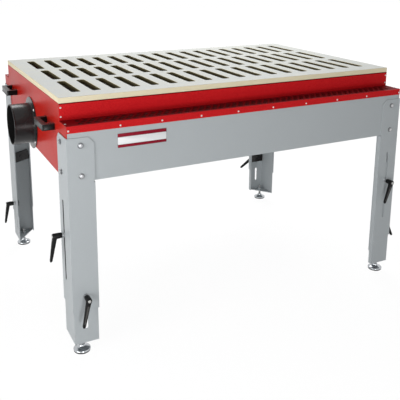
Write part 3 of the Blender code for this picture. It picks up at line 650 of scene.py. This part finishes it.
# A darker zinc for the washers: painted shade round the bolt heads
SHADED_WASHER_ZINC = plated("washer_zinc_shaded", (0.17, 0.18, 0.19), (0.23, 0.23, 0.23), 0.36)
BRIGHT_ZINC = plated("bright_zinc", (0.42, 0.42, 0.41), (0.5, 0.5, 0.48), 0.34)
DARK_STEEL = plated("oiled_steel", (0.035, 0.035, 0.037), (0.055, 0.055, 0.055), 0.4)
CHROME = plated("chrome_plate", (0.4, 0.42, 0.44), (0.52, 0.54, 0.56), 0.12)
RIVET_PAINT = enamel(
    "pale_rivet", (0.72, 0.66, 0.66), (0.66, 0.6, 0.6), (0.8, 0.76, 0.76), 0.3,
)
LAMINATE = laminate()
PLY_EDGE = cut_ply("ply_edge", (0.9, 0.83, 0.62), (0.86, 0.77, 0.53), (0.73, 0.63, 0.41), 0.6)
# Slot walls: the board's ply made much darker, and darker still towards the underside: painted
# shade
SLOT_WALL = cut_ply(
    "slot_wall", (0.26, 0.22, 0.11), (0.19, 0.16, 0.08), (0.11, 0.09, 0.04), 0.7,
    painted_shade=(0.085, 0.07, 0.032),
)
PLATE_WHITE = enamel(
    "plate_white", (0.78, 0.79, 0.8), (0.76, 0.77, 0.78), (0.82, 0.83, 0.84), 0.35,
)
PLATE_RED = enamel(
    "plate_red", (0.24, 0.006, 0.02), (0.2, 0.005, 0.016), (0.28, 0.008, 0.024), 0.35,
    specular=0.1,
)
PLATE_RIM = enamel("plate_rim", (0.2, 0.2, 0.21), (0.17, 0.17, 0.18), (0.24, 0.24, 0.25), 0.4)


# ---- Pieces


def slot_ring(grow):
    """A slot's outline, grown by a margin: a rectangle with quarter-circle corners."""
    half_x, half_y, corner = SLOT_HALF_WIDTH + grow, SLOT_HALF_LENGTH + grow, SLOT_CORNER + grow
    angle = np.linspace(0, math.pi / 2, 9)
    straight = np.linspace(0, half_y - corner, 5)[:-1]
    side = at_level(straight, half_x)[:, ::-1]
    arc = np.column_stack((np.cos(angle), np.sin(angle))) * corner
    arc = arc + (half_x - corner, half_y - corner)
    return mirrored_ring(np.concatenate((side, arc, ((0.0, half_y),))))


def cell_ring():
    """The rectangle round a slot, with one point for each point of the slot's outline."""
    half_x, half_y = SLOT_PITCH / 2, SLOT_ROW_PITCH / 2
    start_y, end_x = SLOT_HALF_LENGTH - SLOT_CORNER, SLOT_HALF_WIDTH - SLOT_CORNER
    straight = np.linspace(0, start_y, 5)[:-1]
    rise = np.linspace(start_y, half_y, 5)
    run = np.linspace(half_x, end_x, 5)[1:]
    side = at_level(np.concatenate((straight, rise)), half_x)[:, ::-1]
    return mirrored_ring(np.concatenate((side, at_level(run, half_y), ((0.0, half_y),))))


def mirrored_ring(quarter):
    """A whole ring from its first quarter, mirrored over both axes."""
    left = quarter * (-1, 1)
    right = quarter * (1, -1)
    return np.concatenate((quarter[:-1], left[::-1][:-1], -quarter[:-1], right[::-1][:-1]))


def stacked(rings, levels):
    """Rings of (x, y) at their levels, as one (ring, point, 3) array."""
    return np.stack([at_level(ring, z) for ring, z in zip(rings, levels)])


def frame_loops():
    """The loop round all the cells and the board's outline, matched point by point."""
    ring = cell_ring()
    half_x, half_y = SLOT_PITCH / 2, SLOT_ROW_PITCH / 2
    centres_x = (np.arange(SLOT_COLUMNS) - (SLOT_COLUMNS - 1) / 2) * SLOT_PITCH
    centres_y = (np.arange(SLOT_ROWS) - (SLOT_ROWS - 1) / 2) * SLOT_ROW_PITCH
    along = ring[np.isclose(ring[:, 1], -half_y), 0]
    across = ring[np.isclose(ring[:, 0], half_x), 1]
    xs = np.unique(np.round(np.add.outer(centres_x, along), 7))
    ys = np.unique(np.round(np.add.outer(centres_y, across), 7))
    bottom = at_level(xs[:-1], ys[0])
    right = at_level(ys[:-1], xs[-1])[:, ::-1]
    loop = np.concatenate((bottom, right, -bottom, -right))
    return loop, np.array((xs[-1], ys[-1])), centres_x, centres_y


def add_board():
    """The slotted board: each slot's cell and the margin round them are stacks of six rings,
    from the underside through the rounded rims and the wall to the laminate."""
    half = (BOARD_HIGH - BOARD_LOW)[:2] / 2
    bottom, top, edge = BOARD_LOW[2], BOARD_HIGH[2], BOARD_EDGE
    levels = (bottom, bottom, bottom + edge, top - edge, top, top)
    loop, reach, centres_x, centres_y = frame_loops()
    cell, narrow, wide = cell_ring(), slot_ring(0), slot_ring(edge)
    rings = stacked((cell, wide, narrow, narrow, wide, cell), levels)
    centre_x, centre_y = np.meshgrid(centres_x, centres_y, indexing="ij")
    offsets = np.stack((centre_x.ravel(), centre_y.ravel(), 0 * centre_x.ravel()), -1)
    cells = rings[None] + offsets[:, None, None, :]
    count = rings.shape[1]
    quads = ring_quads(6, count)
    every = quads[None] + (np.arange(len(offsets)) * 6 * count)[:, None, None]
    bands = np.repeat((0, 1, 2, 1, 0), count)
    patches = [(cells.reshape(-1, 3), every.reshape(-1, 4), np.tile(bands, len(offsets)))]
    outer = np.where(np.isclose(np.abs(loop), reach), np.sign(loop) * half, loop)
    inner_rim = np.clip(outer, edge - half, half - edge)
    rim = stacked((loop, inner_rim, outer, outer, inner_rim, loop), levels)
    frame_bands = np.repeat((0, 1, 1, 1, 0), len(loop))
    patches.append((rim.reshape(-1, 3), ring_quads(6, len(loop)), frame_bands))
    place = BOARD_MIDDLE * (1, 1, 0)
    patches = [(points + place, faces, finish) for points, faces, finish in patches]
    add_piece(
        "slotted_board", "table", patches, (LAMINATE, PLY_EDGE, SLOT_WALL),
        ("work_board",), BOARD_WELD,
    )


def add_port():
    """The exhaust port: one closed profile, with a rolled lip, turned round its axis."""
    low, high = box_of("exhaust_port")
    centre = (high[0] - PORT_BACK, *((low + high) / 2)[1:])
    mouth = high[0] - low[0] - PORT_BACK
    profile = rounded(
        (
            (PORT_BORE, -PORT_BACK), (PORT_RADIUS, -PORT_BACK), (PORT_RADIUS, 0),
            (PORT_FLANGE, 0), (PORT_FLANGE, FLANGE_FACE),
            (PORT_RADIUS + 0.0015, FLANGE_FACE), (PORT_RADIUS, 2 * FLANGE_FACE),
            (PORT_RADIUS, mouth - 0.005), (PORT_RADIUS + 0.0012, mouth - 0.0025),
            (PORT_RADIUS + 0.0002, mouth), (PORT_BORE - 0.0002, mouth), (PORT_BORE, mouth - 0.005),
        ),
        0.0012,
    )
    segments = 128
    points, faces = along_axle(turned(profile, segments, closed=True))
    points = on_wall(points, centre, (-1, 0, 0))
    inside = np.repeat(profile[:, 0] < PORT_BORE + 0.0005, segments).astype(int)
    add_piece(
        "duct_spigot", "table", [(points, faces, inside)], (BLACK_ENAMEL, BORE),
        ("exhaust_port",),
    )
    quarter = math.radians(45) + np.arange(4) * math.radians(90)
    spots = np.column_stack((np.cos(quarter), np.sin(quarter))) * PORT_RIVET_CIRCLE
    places = on_wall(upright(at_level(spots, FLANGE_FACE)), centre, (-1, 0, 0))
    add_rivets("duct_flange_rivets", [(places, (-1, 0, 0))], 1.4)


def rivet_head(scale=1.0):
    """A shallow dome: radius r sin a at the height h cos a, closed a little below its rim."""
    angle = np.linspace(0, math.pi / 2, 6)
    dome = np.column_stack((RIVET_RADIUS * np.sin(angle), RIVET_RISE * np.cos(angle)))
    profile = np.concatenate((dome, ((RIVET_RADIUS, -0.0006), (0, -0.0006)))) * scale
    return along_axle(turned(profile, 14))


def add_rivets(name, groups, scale=1.0):
    """One piece of many rivet heads: the same dome at every place of every group."""
    points, faces = rivet_head(scale)
    patches = []
    for places, outward in groups:
        facing = points @ wall_axes(outward) if abs(outward[2]) < 1 else upright(points)
        heads = facing[None] + np.asarray(places)[:, None]
        numbers = faces[None] + (np.arange(len(places)) * len(points))[:, None, None]
        patches.append((heads.reshape(-1, 3), numbers.reshape(-1, 4)))
    add_piece(name, "table", patches, (RIVET_PAINT,), merge=FINE_WELD)


def add_sheet_rivets():
    """The rivets of both trays' lips, of their tops and of both fascias' ends."""
    end_x = BOARD_MIDDLE[0] + np.array((-RIVET_END, RIVET_END))
    lip_x = BOARD_MIDDLE[0] + np.concatenate(((-RIVET_END,), RIVET_RUN, (RIVET_END,)))
    for name, side, face in (("front", -1, 0), ("rear", 1, 1)):
        tray = box_of(f"{name}_intake_tray")
        lip_y, top = tray[face][1], tray[1][2]
        lip = [(x, lip_y, top - LIP_RIVET_DROP) for x in lip_x]
        ends = [(x, side * TRAY_RIVET_REACH, top) for x in end_x]
        add_rivets(f"{name}_tray_rivets", [(lip, (0, side, 0)), (ends, (0, 0, 1))])
        face_y = box_of(f"{name}_fascia")[face][1]
        places = [(x, face_y, BOARD_HIGH[2] - drop) for x in end_x for drop in FASCIA_RIVET_DROPS]
        add_rivets(f"{name}_fascia_rivets", [(places, (0, side, 0))])


def add_handles():
    """Four moulded bow handles: a U outline with softened corners, its rims rounded."""
    for end, side in (("left", -1), ("right", 1)):
        for place in ("front", "rear"):
            node = f"{end}_{place}_handle"
            low, high = box_of(node)
            reach, half = high[0] - low[0], (high[1] - low[1]) / 2
            inner, bar = half - HANDLE_ARM, reach - HANDLE_GRIP
            outline = (
                (0, -half), (0, -inner), (-bar, -inner), (-bar, inner), (0, inner), (0, half),
                (-reach, half), (-reach, -half),
            )
            ring = rounded(outline, HANDLE_RADII)[::-1]
            points, faces = slab(ring, low[2], high[2], 0.0022, 4)
            face_x = low[0] if side > 0 else high[0]
            points = points * (-side, 1, 1) + (face_x, (low[1] + high[1]) / 2, 0)
            add_piece(
                f"{end}_{place}_grip", "table", [(points, faces)], (BLACK_PLASTIC,),
                (node,),
            )


def smooth_step(t):
    t = np.clip(t, 0, 1)
    return t * t * (3 - 2 * t)


def lever_arm(swing):
    """The arm of a lever: superellipse sections along a straight line that leans outwards from
    the hub. The half width follows a circle round the hub, then narrows evenly as the half
    depth does, and closes on an ellipse at the tip. A groove runs along the outward face, and
    its faces have the second finish, a lighter plastic that is a painted highlight."""
    tip_start, quarter = ARM_DROP - ARM_TIP, np.linspace(0, math.pi / 2, 8)
    shaft = np.linspace(0, tip_start, 30)[1:-1]
    drop = (-HUB_RADIUS * np.cos(quarter), shaft, tip_start + ARM_TIP * np.sin(quarter))
    drop = np.concatenate(drop)[:, None]
    share = np.clip(drop / ARM_DROP, 0, 1)
    arm_width = ARM_WIDTH[0] + (ARM_WIDTH[1] - ARM_WIDTH[0]) * share
    width = HUB_RADIUS + (arm_width - HUB_RADIUS) * smooth_step(drop / 0.022)
    round_top = np.sqrt(np.clip(1 - (np.minimum(drop, 0) / HUB_RADIUS) ** 2, 0, 1))
    round_tip = np.sqrt(np.clip(1 - (np.maximum(drop - tip_start, 0) / ARM_TIP) ** 2, 0, 1))
    half_width = width * np.minimum(round_top, round_tip)
    depth = ARM_DEPTH[0] + (ARM_DEPTH[1] - ARM_DEPTH[0]) * share
    half_depth = depth * round_tip * (0.55 + 0.45 * round_top)
    outward = ARM_OUTWARD + ARM_FLARE * share
    turn = np.linspace(0, 2 * math.pi, 32, endpoint=False)
    waves = (np.cos(turn), np.sin(turn))
    across, deep = (np.sign(wave) * np.abs(wave) ** 0.6 for wave in waves)
    groove = smooth_step((GROOVE_EDGE - np.abs(across)) / 0.2) * (deep > 0.5)
    along = smooth_step((drop - 0.014) / 0.006) * smooth_step((ARM_DROP - 0.01 - drop) / 0.006)
    x = half_width * across
    y = outward + half_depth * deep - GROOVE_DEPTH * along * groove
    z = -drop + 0 * x
    swung_x = x * math.cos(swing) + z * math.sin(swing)
    swung_z = z * math.cos(swing) - x * math.sin(swing)
    points = np.stack((swung_x, y, swung_z), -1)
    cut = along * groove > 0.5
    cut &= np.roll(cut, -1, 1)
    finish = (cut[:-1] & cut[1:]).ravel()
    return points.reshape(-1, 3), ring_quads(len(drop), len(turn)), finish


def lever_hub():
    """The moulded hub, a little barrel-shaped, with a recess for the screw."""
    profile = (
        (0, HUB_START), (0.0088, HUB_START), (0.0097, 0.0096), (0.0103, 0.015), (HUB_RADIUS, 0.024),
        (HUB_RADIUS, 0.038), (0.0102, 0.0424), (0.009, HUB_REACH), (0.0064, HUB_REACH),
        (0.006, 0.0412), (0, 0.0412),
    )
    return along_axle(turned(rounded(profile, 0.0007, 4, closed=False), 36))


def lever_metal():
    """The lever's steel: stud end, stud, sleeve against the leg, and the socket screw. The
    stud's rings run outwards from its end: an oiled shank, then the bright sleeve."""
    stud = (
        (0, -STUD_END), (0.0042, -STUD_END), (0.005, 0.0008 - STUD_END), (0.005, 0.0003),
        (0.01, 0.0003), (0.01, 0.0018), (0.0084, 0.002), (0.0084, HUB_START), (0, HUB_START),
    )
    screw = (
        (0, 0.0395), (0.0054, 0.0395), (0.0056, 0.0446), (0.005, 0.0453), (0.0018, 0.0456),
        (0.0016, 0.0446), (0, 0.0446),
    )
    bands = np.repeat((1, 1, 1, 0, 0, 0, 0, 0), 32)
    return (*along_axle(turned(stud, 32)), bands), (*along_axle(turned(screw, 32)), 2)


def add_levers():
    """A moulded lever and its steel at each of the eight lever hinges."""
    for joint in [joint for joint in frame["joints"] if joint["type"] == "hinge"]:
        body = joint["child"]
        node = body.removesuffix("_body")
        place = node.removesuffix("_lever")
        outward = np.array(joint["axis"], float)
        origin = leg_face(place.rsplit("_", 1)[0], outward, f"{place}_clamp_plate")
        swing = math.radians(LEVER_SWING.get(place, 0))
        grip, stud = [
            [(on_wall(points, origin, outward), *rest) for points, *rest in shapes]
            for shapes in ((lever_arm(swing), lever_hub()), lever_metal())
        ]
        finishes = (BLACK_PLASTIC, GROOVE_HIGHLIGHT_PLASTIC)
        add_piece(f"{node}_grip", body, grip, finishes, (node,), FINE_WELD)
        finishes = (ZINC, DARK_STEEL, BRIGHT_ZINC)
        add_piece(f"{node}_stud", body, stud, finishes, merge=FINE_WELD)


def add_slot_edging():
    """A thin edging round each outer leg's slot, black where the slot faces an end: painted
    shade, standing for the dark inside of the leg seen through the slot. Its outer and inner
    rings are straight sides with a half circle at each end, and it is as deep as the sheet."""
    turn = np.linspace(0, math.pi, 13)
    rings = []
    for radius in (EDGING_OUTER, EDGING_INNER):
        upper = np.column_stack((radius * np.cos(turn), SLOT_ABOVE + radius * np.sin(turn)))
        lower = np.column_stack((-radius * np.cos(turn), -SLOT_BELOW - radius * np.sin(turn)))
        rings.append(np.concatenate((upper, lower)))
    profile = ((0, 0.0), (0, -EDGING_DEPTH), (1, -EDGING_DEPTH), (1, 0.0))
    points = np.concatenate([upright(at_level(rings[number], y)) for number, y in profile])
    faces = ring_quads(4, len(rings[0]), closed=True)
    for corner, side_x, side_y in CORNERS:
        on_end = corner in ("front_left", "rear_right")
        outward = (side_x, 0, 0) if on_end else (0, side_y, 0)
        origin = leg_face(corner, outward, f"{corner}_upper_clamp_plate")
        patches = [(on_wall(points, origin, outward), faces)]
        # the black edging on the end flanges is painted shade; the grey edging is the leg's own
        # enamel
        finish = BLACK_PLASTIC if on_end else GREY
        add_piece(f"{corner}_slot_edging", "table", patches, (finish,), merge=EDGING_WELD)


def hexagon(radius):
    turn = np.arange(6) * math.radians(60)
    return np.column_stack((radius * np.cos(turn), radius * np.sin(turn)))


def add_bolts():
    """Two hexagon bolts with washers through each leg flange into a strip behind the wall."""
    washer = (
        (0, 0.0003), (0.0101, 0.0003), (WASHER_RADIUS, 0.0006), (WASHER_RADIUS, 0.0015),
        (0.01, 0.0018), (0, 0.0018),
    )
    shank = ((0, -0.0105), (0.0036, -0.0105), (0.004, -0.0098), (0.004, 0.001), (0, 0.001))
    head = slab(hexagon(HEAD_RADIUS), 0.0012, 0.007, 0.0009)
    shapes = (head, turned(washer, 36), turned(shank, 20))
    for corner, side_x, side_y in CORNERS:
        for wall, outward in (("apron", (0, side_y, 0)), ("panel", (side_x, 0, 0))):
            node = f"{corner}_{wall}_bolts"
            low, high = box_of(node)
            origin = leg_face(corner, outward, node)
            patches = []
            for rise in (-BOLT_SPACING / 2, BOLT_SPACING / 2):
                for (points, faces), finish in zip(shapes, (0, 1, 1)):
                    points = on_wall(upright(points) + (0, 0, rise), origin, outward)
                    patches.append((points, faces, finish))
            half = (high[2] - low[2]) / 2
            strip = np.array(((-1, -1), (1, -1), (1, 1), (-1, 1))) * (STRIP_HALF, half)
            points, faces = slab(strip, 0.0051, 0.0101, 0.0006, 2)
            patches.append((on_wall(upright(points) * (1, -1, 1), origin, outward), faces))
            add_piece(
                f"{corner}_{wall}_screws", "table", patches, (ZINC, SHADED_WASHER_ZINC),
                (node,), FINE_WELD,
            )


def threaded_stem(low, high):
    """A screw: radius r - d |2 frac(z / pitch - t / 2 pi) - 1| on a helix, with plain ends."""
    rows = int((high - low) / THREAD_PITCH * 6)
    height = np.linspace(low, high, rows)[:, None]
    turn = np.linspace(0, 2 * math.pi, 24, endpoint=False)[None]
    phase = (height / THREAD_PITCH - turn / (2 * math.pi)) % 1
    ends = np.clip(np.minimum(height - low, high - height) / 0.0015, 0, 1)
    radius = STEM_RADIUS - THREAD_DEPTH * (1 - ends * (1 - np.abs(2 * phase - 1)))
    points = carried_round(radius, height, turn)
    first, last = points[:1] * (0, 0, 1), points[-1:] * (0, 0, 1)
    points = np.concatenate((first, points, last))
    return points.reshape(-1, 3), ring_quads(len(points), 24)


def add_feet():
    """A threaded stem, and a pad with a rubber sole under a plated dome, at each corner."""
    sole = ((0, 0), (0.0305, 0), (0.0315, 0.0062), (0, 0.0062))
    dome = (
        (0, 0.005), (0.0308, 0.005), (PAD_RADIUS, 0.0062), (PAD_RADIUS, 0.0088),
        (0.03, 0.0112), (0.024, 0.0138), (0.0175, 0.0168), (0.0128, 0.0205),
        (0.0112, 0.0235), (0.0108, 0.026), (0.0066, 0.026), (0.0066, 0.019), (0, 0.019),
    )
    sole = turned(rounded(sole, 0.001, closed=False))
    dome = turned(rounded(dome, 0.0012, 4, closed=False), 64)
    for corner, _, _ in CORNERS:
        body = f"{corner}_foot"
        low, high = box_of(f"{corner}_foot_stem")
        middle = (low + high) / 2 * (1, 1, 0)
        points, faces = threaded_stem(low[2], high[2])
        add_piece(
            f"{corner}_levelling_screw", body, [(points + middle, faces)], (ZINC,),
            (f"{corner}_foot_stem",), FINE_WELD,
        )
        patches = [(shape[0] + middle, shape[1], rank) for shape, rank in ((sole, 1), (dome, 0))]
        add_piece(
            f"{corner}_foot_dome", body, patches, (CHROME, RUBBER),
            (f"{corner}_foot_pad",), FINE_WELD,
        )


def add_plate():
    """A blank name plate on the front apron: a pale face between a red head strip and a
    narrower red foot strip, in a thin grey rim."""
    face_y = box_of("front_apron")[0][1] - 0.00005
    left, bottom = BOARD_MIDDLE[0] + PLATE_LEFT, BOARD_HIGH[2] + PLATE_BOTTOM
    patches = []
    for margin, low, high, thickness, finish in PLATE_LAYERS:
        x0, x1 = left + margin, left + PLATE_LENGTH - margin
        z0, z1 = bottom + low, bottom + high
        outline = rounded(((x0, z0), (x1, z0), (x1, z1), (x0, z1)), 0.003)
        points, faces = slab(outline, 0, thickness, 0.0002, 2)
        patches.append((upright(points) * (1, -1, 1) + (0, face_y, 0), faces, finish))
    add_piece("name_plate", "table", patches, (PLATE_WHITE, PLATE_RED, PLATE_RIM))


def add_seen_plates():
    """The clamp plates that show inside the rear legs: rounded rectangles, turned about the
    stud, (x cos t - z sin t, x sin t + z cos t), and moved aside."""
    for place, body, (half_x, half_z), aside, turn in SEEN_PLATES:
        node = f"{place}_clamp_plate"
        low, high = box_of(node)
        middle = (low + high) / 2
        corners = ((-half_x, -half_z), (half_x, -half_z), (half_x, half_z), (-half_x, half_z))
        outline = rounded(corners, SEEN_PLATE_RADII)
        cosine, sine = math.cos(turn), math.sin(turn)
        outline = outline @ np.array(((cosine, sine), (-sine, cosine))) + aside
        points, faces = slab(outline, 0, high[1] - low[1], PLATE_EDGE)
        points = upright(points) + (middle[0], low[1], middle[2])
        add_piece(
            f"{place}_wide_plate", body, [(points, faces)], (BLACK_ENAMEL,),
            (node,),
        )


def finish_node(name, material, edge):
    """A carried-over node: its material, and soft edges from modifiers on its own mesh."""
    node = frame["nodes"][name]
    node.data.materials.clear()
    node.data.materials.append(material)
    adjust(node.modifiers.new("weld", "WELD"), merge_threshold=WELD)
    flat = node.modifiers.new("flat", "DECIMATE")
    adjust(flat, decimate_type="DISSOLVE", angle_limit=math.radians(1))
    soft = node.modifiers.new("soft", "BEVEL")
    adjust(soft, width=edge, segments=2, limit_method="ANGLE")
    adjust(soft, angle_limit=SMOOTH_ANGLE, harden_normals=True)


def finish_nodes():
    """Every carried-over node gets its finish, apart from the two plates made wider here."""
    for material, slot, names in (
        (RED, "red_sheet", ("front_fascia", "rear_fascia")),
        (SHADED_PANEL_RED, "red_sheet", ("left_end_panel", "right_end_panel")),
        (TRAY_RED, "red_sheet", ("front_intake_tray", "rear_intake_tray")),
        (GREY, "grey_sheet", ("front_apron", "rear_apron")),
        (FLOOR_SHEET, "grey_sheet", ("plenum_floor",)),
        (GREY, "grey_sheet", ("left_cross_rail", "centre_cross_rail", "right_cross_rail")),
    ):
        for name in names:
            finish_node(name, material, SHEET_EDGE)
    wider = [plate[0] for plate in SEEN_PLATES]
    for corner, _, _ in CORNERS:
        for part in ("outer_leg", "inner_leg"):
            finish_node(f"{corner}_{part}", GREY, LEG_EDGE)
        for place in (f"{corner}_lower", f"{corner}_upper"):
            if place not in wider:
                finish_node(f"{place}_clamp_plate", BLACK_ENAMEL, PLATE_EDGE)


# ---- Stage


def add_camera():
    """The camera where the photograph was taken from."""
    forward = Vector(CAMERA_FORWARD).normalized()
    right = (Vector(CAMERA_RIGHT) - Vector(CAMERA_RIGHT).dot(forward) * forward).normalized()
    up = right.cross(forward)
    data = bpy.data.cameras.new("camera")
    adjust(data, lens=CAMERA_LENS, shift_y=CAMERA_SHIFT_Y, clip_start=0.1, clip_end=60)
    camera = new_object("camera", data)
    rotation = Matrix((right, up, -forward)).transposed().to_4x4()
    camera.matrix_world = Matrix.Translation(CAMERA_PLACE) @ rotation
    bpy.context.scene.camera = camera


def add_softbox(name, place, target, width, height, power):
    """A soft lamp that faces a point."""
    data = bpy.data.lights.new(name, "AREA")
    adjust(data, shape="RECTANGLE", size=width, size_y=height, energy=power)
    facing = (Vector(target) - Vector(place)).to_track_quat("-Z", "Y").to_euler()
    lamp = new_object(name, data)
    adjust(lamp, location=place, rotation_euler=facing, visible_camera=False)


def seen_directly(tree):
    """1 for camera, glossy and transmission rays, which see the white background."""
    rays = tree.nodes.new("ShaderNodeLightPath").outputs
    seen = maths(tree, "MAXIMUM", rays["Is Camera Ray"], rays["Is Glossy Ray"])
    return maths(tree, "MAXIMUM", seen, rays["Is Transmission Ray"])


def mix_into(tree, factor, first, second, output):
    """Two shaders mixed by a factor into an output node."""
    inputs = {0: factor, 1: first.outputs[0], 2: second.outputs[0]}
    mix = add_node(tree, "ShaderNodeMixShader", inputs)
    feed(tree, output.inputs, {"Surface": mix.outputs[0]})


def add_surround():
    """A white surround. The soft light that it gives comes from above the horizon alone."""
    world = bpy.data.worlds.new("surround")
    world.use_nodes = True
    bpy.context.scene.world = world
    tree = world.node_tree
    tree.nodes.clear()
    direction = tree.nodes.new("ShaderNodeTexCoord").outputs["Generated"]
    above = maths(tree, "GREATER_THAN", coordinate(tree, direction), 0.0)
    strength = maths(tree, "MULTIPLY", above, SKY_STRENGTH)
    ambient = add_node(tree, "ShaderNodeBackground", {"Color": WHITE, "Strength": strength})
    white = add_node(tree, "ShaderNodeBackground", {"Color": WHITE, "Strength": 1.0})
    output = tree.nodes.new("ShaderNodeOutputWorld")
    mix_into(tree, seen_directly(tree), ambient, white, output)


def add_floor():
    """A pale floor that keeps a faint shadow of the object. Seen directly it is mostly clear,
    so legs let out below it stay in sight, and lamps reach them."""
    material, tree, place = new_material("floor_paper", 0.9, specular=0.0)
    tone = blend(tree, noise(tree, place, 2.0), (0.84, 0.84, 0.84), (0.86, 0.86, 0.86))
    shader = tree.nodes["Principled BSDF"]
    feed(tree, shader.inputs, {"Base Color": tone})
    distance = add_node(tree, "ShaderNodeVectorMath", {0: place}, operation="LENGTH")
    share = remap(tree, distance.outputs["Value"], *FLOOR_FADE, *FLOOR_CLEAR)
    share = maths(tree, "MULTIPLY", seen_directly(tree), share)
    shadow = tree.nodes.new("ShaderNodeLightPath").outputs["Is Shadow Ray"]
    share = maths(tree, "MAXIMUM", share, shadow)
    glow = add_node(tree, "ShaderNodeEmission", {"Color": WHITE, "Strength": FLOOR_GLOW})
    clear = add_node(tree, "ShaderNodeBsdfTransparent")
    bright = add_node(tree, "ShaderNodeAddShader", {0: glow.outputs[0], 1: clear.outputs[0]})
    mix_into(tree, share, shader, bright, tree.nodes["Material Output"])
    mesh = bpy.data.meshes.new("floor")
    corners = [(x * FLOOR_HALF, y * FLOOR_HALF, 0) for x, y in ((-1, -1), (1, -1), (1, 1), (-1, 1))]
    mesh.from_pydata(corners, [], [(0, 1, 2, 3)])
    mesh.materials.append(material)
    floor = new_object("floor", mesh)
    floor.location.z = -0.0002


add_camera()
add_surround()
add_floor()
for lamp, setting in LAMPS.items():
    add_softbox(lamp, *setting)
finish_nodes()
add_board()
add_port()
add_sheet_rivets()
add_handles()
add_levers()
add_slot_edging()
add_bolts()
add_feet()
add_plate()
add_seen_plates()

bpy.context.scene.view_settings.view_transform = "Standard"
